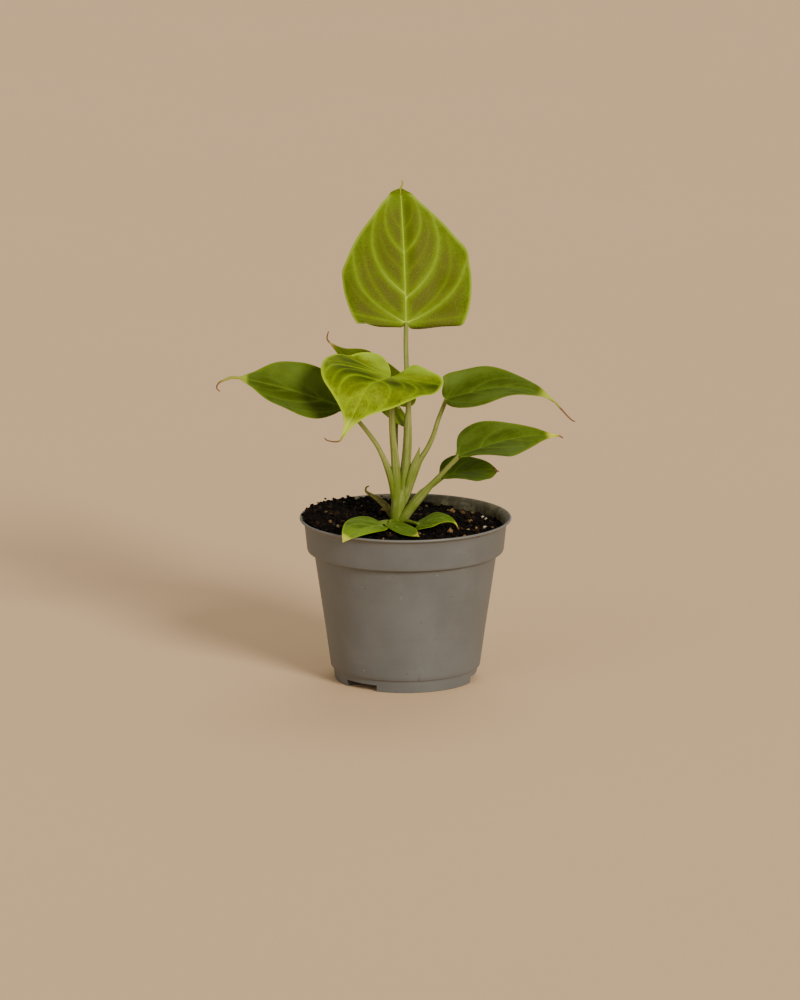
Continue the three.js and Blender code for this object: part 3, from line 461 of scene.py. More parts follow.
def margin(leaf, half, t):
    """Half a blade's margin in millimetres, from the tip (t 0) to the notch at the stalk (t 1):
    three cubics joined end to end, scaled by the half's width and the length, then pushed out
    along its own normal by a bell curve for each bulge. A taper of 1 narrows the base to a wedge."""
    width, length, lobe = leaf["width"][half], leaf["length"], leaf["lobe"][half]
    wide, point, taper = leaf["wide"], leaf["point"], leaf.get("taper", (0, 0))[half]
    tip, side, notch = t / WIDEST, (t - WIDEST) / (LOBE_FOOT - WIDEST), (t - LOBE_FOOT) / (1 - LOBE_FOOT)
    lean = 0.05 + 0.5 * max(1 - point, 0)
    drop = 1 - 0.22 * max(point, 0.12)
    turn, foot = 0.85 - 0.45 * taper, 0.5 - 0.4 * taper
    x_notch = cubic(foot, 0.24 - 0.19 * taper, 0.07, 0, notch)
    x_lobes = np.where(t < LOBE_FOOT, cubic(1, 1, turn, foot, side), x_notch)
    x = width * np.where(t < WIDEST, cubic(0.03, lean, 1, 1, tip), x_lobes)
    y_side = cubic(wide, wide - 0.6 * (wide + lobe), 0.4 * taper * wide - lobe, -lobe, side)
    y_lobes = np.where(t < LOBE_FOOT, y_side, cubic(-lobe, -lobe, -lobe / 2, 0, notch))
    y = length * np.where(t < WIDEST, cubic(1, drop, wide + leaf["shoulder"], wide, tip), y_lobes)
    for which, place, spread, size in leaf.get("bulges", ()):
        if which == half:
            ahead = margin({**leaf, "bulges": ()}, half, np.clip(t + 0.002, 0, 1))
            behind = margin({**leaf, "bulges": ()}, half, np.clip(t - 0.002, 0, 1))
            run = np.stack([ahead[0] - behind[0], ahead[1] - behind[1]], -1)
            run = run / np.maximum(np.linalg.norm(run, axis=-1, keepdims=True), 1e-9)
            push = size * bell(t - place, spread)
            x, y = x - run[..., 1] * push, y + run[..., 0] * push
    return np.maximum(x, 0), y


def flat_point(leaf, half, t, s):
    """A point of the flat blade: a quadratic curve from the midrib's foot of line t, where s is 0,
    to the margin, where s is 1, with its bend half way out and three tenths of the way along."""
    edge_x, edge_y = margin(leaf, half, t)
    foot = leaf["length"] * np.maximum(0, 1 - t / RIB_FOOT)
    bend_y = foot + 0.3 * (edge_y - foot)
    x = (1 - s) * s * edge_x + s * s * edge_x
    y = (1 - s) ** 2 * foot + 2 * (1 - s) * s * bend_y + s * s * edge_y
    return x, y


def vein_sweep(start):
    """How far a vein that leaves on line t = start has moved towards the tip at the margin: least
    for the veins that run into the lobes."""
    return SWEEP * np.sqrt(np.maximum(0, 1 - (np.maximum(start - SWEEP_FROM, 0) / SWEEP_FADE) ** 2))


def vein_line(leaf, half, start):
    """A side vein on the flat blade: t keeps its start and falls off late, by its sweep times s^5,
    so the vein bows outwards and turns in beside the margin."""
    s = np.linspace(0, 0.96, 48)
    t = np.maximum(start - vein_sweep(start) * s**VEIN_TURN, 0.01)
    return np.stack(flat_point(leaf, half, t, s), -1)


def gap_to_lines(points, lines):
    """Shortest distance from each point to each line, over the line's straight steps."""
    first, step = lines[:, :-1], np.diff(lines, axis=1)
    reach = points[:, None, None] - first
    share = (reach * step).sum(-1) / np.maximum((step**2).sum(-1), 1e-9)
    rest = reach - np.clip(share, 0, 1)[..., None] * step
    return np.sqrt((rest**2).sum(-1)).min(-1)


def vein_marks(leaf, half, t, s, x, y):
    """Glow beside the veins, the veins' own lines, the phase that is constant along a vein, and
    the relief: veins are sunk by bell curves of their distance, and the blade is puffed between."""
    size = leaf["length"] / USUAL_LENGTH
    flat = np.stack([x, y], -1).reshape(-1, 2)
    veins = MAIN_VEINS + LESSER_VEINS
    shift = 8 * leaf.get("shift", (0, 0))[half]
    lines = np.stack([vein_line(leaf, half, start + shift * start**3) for start, _ in veins])
    weight = np.minimum(np.array([strength for _, strength in veins]) * leaf.get("veined", 1.0), 1)
    gaps = gap_to_lines(flat, lines)
    wide, thin = ((least + more * weight) * size for least, more in (VEIN_GLOW, VEIN_CORE))
    fade = 1 - 0.35 * np.clip(s, 0, 1).reshape(-1, 1)
    near = weight * fade * bell(gaps, wide)
    core = weight * fade * bell(gaps, thin)
    sunk = weight * fade * bell(gaps, 0.5 * wide)
    rib_wide = (RIB_GLOW - RIB_LOSS * np.clip(y / leaf["length"], 0, 1)) * size
    rib = bell(x, rib_wide) * smooth_step(y, -2, 3)
    rib_core = bell(x, RIB_CORE * rib_wide) * smooth_step(y, -2, 1)
    glow = 1 - (1 - near).prod(-1).reshape(x.shape) * (1 - 0.95 * rib)
    line = 1 - (1 - core).prod(-1).reshape(x.shape) * (1 - rib_core)
    start = t + 0.1 * s**VEIN_TURN
    for _ in range(5):
        start = t + vein_sweep(start) * s**VEIN_TURN
    groove = (sunk**2).sum(-1).reshape(x.shape)
    relief = -leaf.get("depth", 0.35) * size * np.clip(groove + 0.9 * rib * rib, 0, 1.2)
    return glow, line, start, relief


def direction(pitch, yaw):
    """The unit vector of a pitch above the level and a yaw about the pot's axis."""
    return stack(np.cos(pitch) * np.cos(yaw), np.cos(pitch) * np.sin(yaw), np.sin(pitch))


def spine(leaf, y):
    """The midrib's points and the blade's frame there. Pitch falls by droop * run ** bend, where run
    is the share of the length, and by a soft step at the knee. Yaw and roll change evenly with
    run, and the points are the direction's running sum. Behind the stalk the pitch changes by
    lobe_bend over the hem, a share of the lobes."""
    length = leaf["length"]
    lobe = max(leaf["lobe"]) * length + 4
    behind, beyond = SPINE_STEPS
    line = np.concatenate([np.linspace(-lobe, 0, behind)[:-1], np.linspace(0, length, beyond)])

    def turned(at):
        run = np.clip(at / length, 0, 1)
        back = np.clip(-at / max((lobe - 4) * leaf.get("hem", 1.0), 0.1), 0, 1)
        place, spread, turn = leaf.get("knee", (0.5, 0.2, 0))
        pitch = leaf["pitch"] - leaf["droop"] * run ** leaf["bend"] + leaf["lobe_bend"] * back
        pitch = pitch - turn * smooth_step(run, place - spread, place + spread)
        return np.radians(pitch), np.radians(leaf["yaw"] + leaf["sway"] * run), run

    pitch, yaw, _ = turned((line[1:] + line[:-1]) / 2)
    ahead = direction(pitch, yaw)
    places = np.concatenate([np.zeros((1, 3)), np.cumsum(ahead * np.diff(line)[:, None], 0)])
    places += np.array(leaf["base"]) - places[behind - 1]
    place = stack(*(np.interp(y, line, places[:, axis]) for axis in range(3)))
    pitch, yaw, run = turned(y)
    roll = np.radians(leaf["roll"] + leaf["twist"] * run)[..., None]
    ahead = direction(pitch, yaw)
    level = stack(np.sin(yaw), -np.cos(yaw), 0 * yaw)
    upright = np.cross(level, ahead)
    across = level * np.cos(roll) + upright * np.sin(roll)
    normal = upright * np.cos(roll) - level * np.sin(roll)
    return place, across, normal


def blade_half(leaf, half, rows, columns):
    """Upper and lower faces of half a blade. A section leaves the midrib at the fold's angle and
    bends on by the curl, so its reach and rise are (w/c)(sin(f + cx/w) - sin f) and
    (w/c)(cos f - cos(f + cx/w)). The margin waves as a sine, and the veins are sunk in it.
    Painted shade and painted light darken or pale the ground, each as a bell curve."""
    side = 1 if half else -1
    t = np.linspace(0, 1, rows)[:, None]
    s = np.concatenate([np.linspace(0, 0.98, columns), EDGE_COLUMNS])[None, :]
    t, s = np.broadcast_arrays(t, s)
    x, y = flat_point(leaf, half, t, s)
    width, length = leaf["width"][half], leaf["length"]
    glow, line, phase, relief = vein_marks(leaf, half, t, s, x, y)
    place, across, normal = spine(leaf, y)
    fold = np.radians(leaf["fold"][half]) * (1 - 0.5 * np.clip(y / length, 0, 1))
    curl = np.radians(leaf["curl"][half] if abs(leaf["curl"][half]) > LEAST_CURL else LEAST_CURL)
    angle = fold + curl * x / width
    out = width / curl * (np.sin(angle) - np.sin(fold))
    up = width / curl * (np.cos(fold) - np.cos(angle))
    size = WAVE_HEIGHT * min(1, (width / FULL_WAVE_WIDTH) ** 2)
    ends = np.clip(6 * t, 0, 1) * np.clip(5 * (1 - t), 0, 1)
    wave = size * ends * np.sin(2 * np.pi * (MARGIN_WAVES * t + 0.2 * side)) * s * s
    # Painted shade where the sum is above 0 and painted light where it is below, from the leaf's list.
    tone = 0 * x
    for which, at_x, at_y, spread_x, spread_y, depth in leaf.get("painted_light_and_shade", ()):
        if which == half:
            tone = tone + depth * bell(x - at_x, spread_x) * bell(y - at_y, spread_y)
    tilt = angle[..., None]
    outward = normal * np.cos(tilt) - side * across * np.sin(tilt)
    middle = place + side * across * out[..., None] + normal * (up + wave + relief)[..., None]
    blunt = np.sqrt(np.clip(1 - s**24, 0, 1)) * np.sqrt(np.clip(t / 0.015, 0, 1))
    blunt = blunt * np.sqrt(np.clip((1 - t) / 0.01, 0, 1)) * HALF_THICKNESS
    rib = leaf["rib"] * (1.05 - np.clip(y / length, 0, 1)) * smooth_step(y, -3, 1)
    ridge = rib * bell(x, rib + 0.25) + 0.16 * line * blunt / HALF_THICKNESS
    upper = middle + outward * blunt[..., None]
    veins_below = np.minimum(relief, 0) * 0.3 * (s < 1)
    lower = middle - outward * (blunt + ridge * (blunt > 0) - veins_below)[..., None]
    edge_x, edge_y = margin(leaf, half, t)
    rim = np.hypot(edge_x - x, edge_y - y) / (length / USUAL_LENGTH)
    marks = {
        "veins": stack(glow, line, phase),
        "place": stack(bell(rim, MARGIN_BAND), y / length, s),
        "flat": stack(side * x, y, 40.0 * half + 7 * leaf["pitch"]),
        "tone": stack(tone, 0 * x, 0 * x),
    }
    return [
        grid(upper, 0, flip=side > 0, **marks),
        grid(lower, 1, flip=side < 0, **marks),
    ]


# Stalks

GROOVE_WIDTH = 0.4
STALK_RIBS = 7


def smooth_path(points, steps):
    """A line through all points: the uniform Catmull-Rom cubic, in which each stretch leaves a
    point parallel to the chord of its two neighbours. All columns are carried along."""
    points = np.array(points, float)
    padded = np.concatenate([2 * points[:1] - points[1:2], points, 2 * points[-1:] - points[-2:-1]])
    place = np.linspace(0, len(points) - 1, steps)
    low = np.minimum(place.astype(int), len(points) - 2)
    u = (place - low)[:, None]
    a, b, c, d = (padded[low + shift] for shift in range(4))
    bent = (2 * a - 5 * b + 4 * c - d) * u**2 + (3 * b - a - 3 * c + d) * u**3
    return 0.5 * (2 * b + (c - a) * u + bent)


def tube(
    points, steps, sides, facing=(0.1, -1, 0.2), flat=1.0, groove=0.0, ribs=0.0, finish=0, dries=1.0
):
    """A round profile carried along a smooth path of (x, y, z, radius). The radius loses a bell
    curve for the groove and gains a cosine for the ribs, and both ends close to a point. The run
    mark holds the share of the length, and the share from which a thread is dried."""
    path = smooth_path(points, steps)
    centre, radius = path[:, :3], np.maximum(path[:, 3], 0.05)
    ahead = unit(np.gradient(centre, axis=0))
    facing = np.array(facing, float)
    across = unit(facing - (ahead @ facing)[:, None] * ahead)
    third = np.cross(ahead, across)
    turn = np.linspace(0, 2 * np.pi, sides, endpoint=False)
    shape = 1 - groove * bell(np.minimum(turn, 2 * np.pi - turn), GROOVE_WIDTH)
    shape = shape + ribs * np.cos(STALK_RIBS * turn)
    ring = radius[:, None] * shape
    x, y = ring * np.cos(turn) * flat, ring * np.sin(turn)
    points = centre[:, None] + x[..., None] * across[:, None] + y[..., None] * third[:, None]
    first = np.broadcast_to(centre[:1, None], (1, sides, 3))
    last = np.broadcast_to(centre[-1:, None], (1, sides, 3))
    points = np.concatenate([first, points, last])
    length = np.concatenate([[0], np.cumsum(np.linalg.norm(np.diff(centre, axis=0), axis=1))])
    length = np.concatenate([length[:1], length, length[-1:]])
    marks = stack(np.cos(turn)[None], np.sin(turn)[None], length[:, None] + 31 * centre[0, 0])
    run = stack(length[:, None] / length[-1], dries, 0 * turn[None])
    return grid(points, finish, wrap=True, round=marks, run=run)


# Sizes, poses and shapes of the blades. Pairs give the left half first, looking from stalk to tip.
# A bulge is (half, place on the margin, spread, millimetres). A tone is (half, x, y, spread across,
# spread along, strength): painted shade above 0 and painted light below. A step of a thread is (x, y, z)
# from the tip and a radius.
LEAVES = {
    "leaf_top": {
        "base": (0.4, 8.1, 203.2),
        "length": 75.9, "width": (35.2, 38.4), "lobe": (0.115, 0.15), "shift": (0, 0.05),
        "taper": (0.28, 0.08), "wide": 0.33, "shoulder": 0.26, "point": 0.46,
        "yaw": 98, "pitch": 80, "roll": 2, "sway": 5, "twist": -2,
        "droop": 9, "bend": 1.6, "lobe_bend": 80, "hem": 0.4, "fold": (-5, -3), "curl": (-12, -1),
        "bulges": (
            (0, 0.055, 0.035, 1.3), (0, 0.13, 0.05, 1.0), (0, 0.5, 0.04, 0.8),
            (0, 0.62, 0.04, -0.6), (1, 0.07, 0.03, 0.6), (1, 0.42, 0.05, 2.0),
        ),
        "painted_light_and_shade": (
            (1, 4, 44, 2.6, 15, 0.9), (1, 3.5, 63, 3, 8, 0.7), (0, 32, 24, 3, 5, 0.5),
            (1, 20, 8, 11, 4, 0.5), (0, 3, 68, 4, 5, -0.3), (1, 14, 27, 5, 9, -0.3),
            (0, 14, 40, 9, 16, 0.3), (1, 24, 22, 8, 7, 0.6),
        ),
        "thread": ((1.2, 0, 2.2, 0.5), (1, 0, 4.6, 0.4)), "dries": 1.0, "rib": 1.1,
    },
    "leaf_front": {
        "base": (-8.7, -6.4, 174.9),
        "length": 62, "width": (35.5, 34), "lobe": (0.225, 0.265), "taper": (0.5, 0.1),
        "wide": 0.27, "shoulder": 0.28, "point": 1.6,
        "yaw": -114.5, "pitch": 2, "roll": 9, "sway": -14.5, "twist": 8,
        "droop": 5, "bend": 1.7, "knee": (0.425, 0.12, 45), "lobe_bend": -43, "hem": 0.6,
        "fold": (6.5, 8.5), "curl": (-0.5, -0.2), "bulges": ((0, 0.69, 0.045, 3), (1, 0.6, 0.05, 0.8)),
        "painted_light_and_shade": (
            (1, 22, 4, 13, 12, 0.9), (1, 16, 22, 15, 11, 0.95), (1, 5, 17, 6, 6, 0.7),
            (0, 14, 12, 13, 9, 0.8), (0, 28, 7, 9, 12, 0.5), (0, 6, 15, 6, 5, 0.6),
            (1, 17, -14.5, 11, 3.6, -1.2), (1, 6, -8, 5, 3.5, -0.9), (0, 9, -12, 12, 4, -1.2),
            (0, 24, -12, 8, 4, -1), (0, 31, 1, 5, 6, 0.7),
        ),
        "thread": (
            (-1.4, 0, -1.9, 0.5), (-3.8, 0, -2.4, 0.45), (-6.2, 0, -2.2, 0.4), (-8.7, 0, -1.4, 0.4),
            (-9.9, 0, -0.3, 0.3),
        ),
        "dries": 0.35, "rib": 1.1, "veined": 1.6,
    },
    "leaf_left": {
        "base": (-34.3, -4.4, 157.2),
        "length": 62.4, "width": (19, 22), "lobe": (0.005, 0.035), "taper": (0.9, 0.6),
        "wide": 0.42, "shoulder": 0.25, "point": 0.57,
        "yaw": 182.5, "pitch": 20, "roll": 34, "sway": 5, "twist": 0,
        "droop": 9, "bend": 1.8, "lobe_bend": 14, "fold": (-11, -5), "curl": (27, 22),
        "painted_light_and_shade": (
            (0, 4, 20, 6, 24, 0.8), (0, 3, 46, 3, 12, 0.5), (1, 14, 30, 8, 24, -0.5),
            (1, 1.5, 30, 1.6, 30, 0.4), (0, 12, 6, 8, 8, 0.5),
        ),
        "thread": (
            (-4, 0, 0.2, 0.9), (-7.4, 0, -1, 0.75), (-10.8, 0, -2.6, 0.55), (-12.3, 0, -4.6, 0.45),
            (-12.2, 0, -6.4, 0.4), (-10.6, 0, -7.8, 0.3),
        ),
        "dries": 0.6, "rib": 1.0,
    },
    "leaf_back": {
        "base": (-4.1, 20.7, 153),
        "length": 52.4, "width": (18.5, 21.5), "lobe": (0.24, 0.14),
        "wide": 0.29, "shoulder": 0.4, "point": 0.91,
        "yaw": 176, "pitch": 43, "roll": 27, "sway": 8, "twist": 7,
        "droop": 0, "bend": 1.5, "lobe_bend": -9, "fold": (-4, 6), "curl": (27, -4),
        "painted_light_and_shade": ((0, 13, -3, 9, 10, -1.6),),
        "thread": ((-1.8, 0, 2.2, 0.5), (-1.8, 0, 4.7, 0.4), (-1.1, 0, 6.9, 0.3)), "dries": 0.3,
        "rib": 0.9,
    },
    "leaf_right_upper": {
        "base": (23.1, 2.2, 160.7),
        "length": 65, "width": (18, 18), "lobe": (0.055, 0.005), "taper": (0.13, 0.5),
        "wide": 0.26, "shoulder": 0.25, "point": 0.87,
        "yaw": -4.7, "pitch": 17, "roll": -28, "sway": -1.5, "twist": 12,
        "droop": 59, "bend": 2.2, "lobe_bend": -25, "fold": (7, 12), "curl": (14, -6),
        "bulges": ((0, 0.68, 0.07, 1.8),),
        "painted_light_and_shade": (
            (0, 13, 5, 6, 9, -1.2), (0, 15, 20, 3, 10, -0.6), (0, 6, 22, 3, 14, 0.45),
            (0, 5, 44, 3, 9, 0.3), (1, 3, 12, 2, 12, 0.3), (1, 10, 24, 4, 14, -0.4),
        ),
        "thread": (
            (2, 0, -2.4, 0.6), (4.8, 0, -5.5, 0.5), (7.1, 0, -8.1, 0.45), (9.3, 0, -10, 0.4),
            (10.9, 0, -10.7, 0.3),
        ),
        "dries": 0.3, "rib": 1.0,
    },
    "leaf_right_middle": {
        "base": (30, -11.5, 130.7),
        "length": 66.5, "width": (19, 21), "lobe": (0.012, 0.01), "taper": (0.95, 0.9),
        "wide": 0.27, "shoulder": 0.18, "point": 1.08,
        "yaw": 30, "pitch": 13.4, "roll": -19, "sway": -2.5, "twist": -44.5,
        "droop": 24.7, "bend": 1.6, "lobe_bend": -3.5, "fold": (0.5, 26.5), "curl": (-7.5, 6.5),
        "painted_light_and_shade": (
            (0, 11, 11, 6, 8, -0.3), (0, 5, 24, 2, 14, 0.6), (0, 10, 38, 4, 12, -0.5),
            (0, 14, 24, 4, 10, 0.2), (1, 4, 20, 2.5, 14, 0.45), (1, 12, 26, 4, 16, -0.2),
        ),
        "thread": ((1.7, 0, -1.2, 0.4),), "dries": 0.3, "rib": 1.0,
    },
    "leaf_right_lower": {
        "base": (20.8, 8.8, 113.6),
        "length": 34.6, "width": (15.6, 17.6), "lobe": (0.04, 0.013), "taper": (0.87, 0.8),
        "wide": 0.33, "shoulder": 0.18, "point": 0.39,
        "yaw": 23, "pitch": 10.4, "roll": -15, "sway": 2, "twist": -27,
        "droop": 24.5, "bend": 1.8, "lobe_bend": 0, "fold": (1, 21.5), "curl": (-1, 7),
        "thread": ((1, 0, -0.8, 0.4),), "dries": 0.2, "rib": 0.7,
    },
    "small_leaf_left": {
        "base": (-13.4, -21.1, 92.6),
        "length": 48.6, "width": (5.6, 10.4), "lobe": (0.03, 0.05),
        "wide": 0.32, "shoulder": 0.35, "point": 0.47,
        "yaw": -118, "pitch": 9, "roll": 18, "sway": 3, "twist": 6,
        "droop": 26, "bend": 2.1, "lobe_bend": 4, "fold": (-3, 14), "curl": (0, -11),
        "painted_light_and_shade": ((1, 1.5, 14, 2, 9, 0.5), (0, 4, 27, 4, 14, -1.3), (1, 1, 36, 3, 9, -0.6)),
        "rib": 0.5, "depth": 0.2,
    },
    "small_leaf_front": {
        "base": (-8.8, -13.5, 92.1),
        "length": 35.2, "width": (5.3, 4.9), "lobe": (0.06, 0.02),
        "wide": 0.36, "shoulder": 0.46, "point": 0.69,
        "yaw": -63, "pitch": -1, "roll": -14, "sway": 2, "twist": -14,
        "droop": -1, "bend": 2.0, "lobe_bend": -16, "fold": (11, 11), "curl": (-21, 5),
        "rib": 0.4, "depth": 0.2,
    },
    "small_leaf_right": {
        "base": (7.6, -15.5, 91.8),
        "length": 24.9, "width": (10.1, 10.1), "lobe": (0.05, 0.07),
        "wide": 0.28, "shoulder": 0.19, "point": 1.17,
        "yaw": -8, "pitch": 25, "roll": -7, "sway": 8, "twist": -12,
        "droop": 99, "bend": 2.4, "lobe_bend": -12, "fold": (2, 1), "curl": (-7, -3),
        "thread": ((0.8, 0, -1.2, 0.4),), "dries": 0.2, "rib": 0.4, "depth": 0.2,
    },
}

# Each stalk runs from the stem to the base of its leaf, as (x, y, z, radius)
STALKS = {
    "leaf_top": (
        (-2.6, -0.5, 96, 3.2), (-1, 1.5, 112, 3.0), (0.7, 3, 128, 2.7), (1.2, 4, 139, 2.4),
        (1.2, 4.6, 147.4, 2.2), (1.6, 5, 152.6, 1.65), (1.6, 5.4, 160, 1.45), (0.6, 6.3, 178, 1.4),
        (0.2, 7.2, 192, 1.35), (0.4, 8.1, 203.2, 1.3),
    ),
    "leaf_front": (
        (-4.8, -2, 96, 3.0), (-5.1, -2, 113, 2.8), (-6, -2.2, 128, 2.3), (-7.2, -3, 140, 1.9),
        (-7.9, -4.2, 156, 1.7), (-8.4, -5.4, 167, 1.5), (-8.7, -6.4, 174.8, 1.4),
    ),
    "leaf_left": (
        (-5.4, -1.5, 98, 2.4), (-6, -1.8, 106, 2.5), (-7.6, -2, 114.5, 2.4),
        (-10.4, -2.2, 122.5, 1.9), (-13.2, -2.4, 129, 1.45), (-17.2, -2.7, 136.6, 1.3),
        (-26, -3.6, 148.4, 1.2), (-34.3, -4.4, 157, 1.1),
    ),
    "leaf_back": (
        (-3.6, 0, 100, 2.2), (-4.6, 4, 114, 1.8), (-5.6, 9.3, 128, 1.5), (-5.4, 14.6, 142, 1.3),
        (-4.3, 20.4, 152.9, 1.2),
    ),
    "leaf_right_upper": (
        (-2.4, -1, 98, 2.6), (0, 0.2, 105, 2.6), (3.6, 1, 115, 2.5), (8.2, 1, 125.4, 1.7),
        (12.4, 1, 132.4, 1.45), (15.8, 1.1, 140, 1.35), (18.6, 1.4, 149, 1.25), (23.1, 2.2, 160.5, 1.2),
    ),
    "leaf_right_middle": (
        (-3.8, -3, 89.4, 2.6), (-1, -4.4, 93.5, 2.8), (3.6, -5.4, 99.8, 2.7), (10.6, -6.6, 108.4, 2.2),
        (15.4, -7.4, 114, 1.6), (22, -9, 121.4, 1.35), (30, -11.5, 130.5, 1.4),
    ),
    "leaf_right_lower": (
        (-2, 0.4, 95, 2.0), (3, 4, 99.8, 1.6), (10, 7, 105.4, 1.3), (16.5, 8.4, 110, 1.15),
        (20.8, 8.8, 113.4, 1.1),
    ),
}
LOW_STALKS = {
    "small_leaf_left": (
        (-6.4, -3, 88.6, 1.4), (-9.4, -4.8, 91, 1.3), (-13.4, -8.4, 91.6, 1.1), (-16, -13.4, 91.8, 1.0),
        (-15.4, -18, 91.8, 0.95), (-13.4, -21.1, 92.5, 0.9),
    ),
    "small_leaf_front": (
        (-5, -4.2, 89.8, 1.3), (-7.4, -8, 92.3, 1.0), (-8.6, -11.6, 92.8, 0.9),
        (-8.8, -13.5, 92.1, 0.8),
    ),
    "small_leaf_right": (
        (-3, -3.4, 89.8, 1.3), (0.4, -6.6, 91.9, 1.2), (3.6, -10.6, 92.1, 1.05), (6.2, -14, 92.2, 1.0),
        (7.6, -15.5, 91.8, 0.9),
    ),
}
STEM = (
    (-4.5, -2, 62, 2.6), (-4.5, -2, 80, 3.8), (-4.5, -2, 88, 4.4), (-4.4, -1.9, 91, 4.2),
    (-4.1, -1.5, 98, 4.2), (-3.4, -0.8, 104, 3.9), (-3, -0.5, 109, 2.8),
)
SHEATHS = (
    ((-6.2, -3, 106, 1.8), (-8, -3.4, 115, 1.8), (-10, -3.3, 123, 1.4), (-11.5, -3, 128.6, 0.25)),
    (
        (0.6, -0.6, 106, 1.8), (2.4, -0.5, 114, 2.3), (5, 0, 122.4, 2.2), (6.9, 0.2, 128.6, 1.2),
        (8, 0.4, 133, 0.25),
    ),
    (
        (3.2, -5, 101.4, 1.6), (8.2, -6.2, 107.6, 1.6), (11.4, -6.6, 110.8, 1.1),
        (13.9, -6.6, 113.6, 0.25),
    ),
)
SPROUT = ((-7.5, -9, 91, 1.0), (-11, -11.4, 91.8, 0.9), (-14, -12.6, 91.8, 0.6), (-16.4, -13.4, 92, 0.2))
DRIED = (
    (-7.6, 1.4, 93, 1.8), (-10.5, 4, 97.4, 2.0), (-14.5, 7, 100.6, 1.7), (-19, 10, 103, 1.1),
    (-22, 11.2, 104.6, 0.8), (-22.6, 11.4, 106.2, 0.6), (-21.9, 11.2, 107.6, 0.5),
    (-20.6, 11, 108.2, 0.35),
)


def blade_grids(leaf, rows, columns):
    """Both halves of a blade, and the dried thread that goes on from the end of its midrib."""
    grids = blade_half(leaf, 0, rows, columns) + blade_half(leaf, 1, rows, columns)
    if "thread" in leaf:
        ends, _, _ = spine(leaf, leaf["length"] * np.array([0.95, 0.985, 1.0]))
        first = leaf["thread"][0][3]
        start = [(*ends[0], first * 0.3), (*ends[1], first * 0.75), (*ends[2], first)]
        rest = [tuple(ends[2] + np.array(step[:3])) + (step[3],) for step in leaf["thread"]]
        steps = 12 + 8 * len(rest)
        grids.append(tube(start + rest, steps, 10, (0.1, -1, 0.3), finish=2, dries=leaf["dries"]))
    return grids


# Pot

POT_PROFILE = (
    (41.2, 7.2), (42.1, 7.4), (42.4, 7.8), (45.6, 31.0), (48.7, 52.0), (51.55, 71.4),
    (51.8, 72.6), (52.6, 73.1), (54.9, 73.9), (55.5, 74.3), (55.75, 75.0), (56.6, 83.0), (57.3, 89.8),
    (57.7, 90.7), (58.5, 91.2), (59.4, 91.5), (59.85, 91.9), (60.0, 92.4), (59.85, 92.8),
    (59.4, 93.0), (58.9, 92.95), (58.0, 92.4), (56.9, 91.6), (56.2, 90.2), (54.4, 76.0), (53.6, 74.9),
    (50.6, 73.8), (50.2, 72.4), (41.2, 9.8), (38.8, 8.4), (38.4, 5.2), (0.0, 5.2),
)
INSIDE_FROM = 19
WALL_STEP = 2.2
FOOT_PROFILE = (
    (39.9, 0.0), (40.2, 0.25), (40.3, 1.2), (40.45, 2.4), (40.6, 3.6), (40.75, 4.8), (40.9, 6.0),
    (41.0, 6.8),
)
CHANNEL_ANGLES = (-39, 81, 201)
CHANNEL_HEIGHT = 3.8
CHANNEL_FROM = 11
CHANNEL_HALF_WIDTH = 4
CHANNEL_LENGTH = 35
CHANNEL_WIDENING = 8
CHANNEL_COLUMNS, BETWEEN_COLUMNS = 15, 41
INNER_RINGS = (0, 4, 8, CHANNEL_FROM)
OUTER_RINGS = 22
FOOT_RADIUS = 40.3
# Where the painted outlet disc lies in each channel, its soft edge, and the share of painted shade on
# the channel roofs.
DRAIN_AT = 24.0
DRAIN_EDGE = 3.6, 3.0
UNDERSIDE_SHADE = 0.6


def spoke_angles(radius):
    """Directions of the pot's columns at each radius, and each column's share of a channel. The
    channel's half width grows evenly outwards, so its edge lies at the arc sine of that over the
    radius. Columns spread evenly within a channel and between channels, and edges are doubled."""
    radius = np.maximum(radius, CHANNEL_FROM)[:, None]
    half_width = CHANNEL_HALF_WIDTH + (radius - CHANNEL_FROM) * CHANNEL_WIDENING / CHANNEL_LENGTH
    half = np.arcsin(np.clip(half_width / radius, 0, 1))
    inside = np.linspace(-1, 1, CHANNEL_COLUMNS)[None, :]
    between = np.linspace(0, 1, BETWEEN_COLUMNS)[None, :]
    turns, shares = [], []
    for angle in CHANNEL_ANGLES:
        middle = np.radians(angle)
        turns.append(middle + half * inside)
        turns.append(middle + half + between * (np.radians(120) - 2 * half))
        shares.append(np.broadcast_to(np.ones_like(inside), turns[-2].shape))
        shares.append(np.broadcast_to(np.zeros_like(between), turns[-1].shape))
    return np.concatenate(turns, 1), np.concatenate(shares, 1)


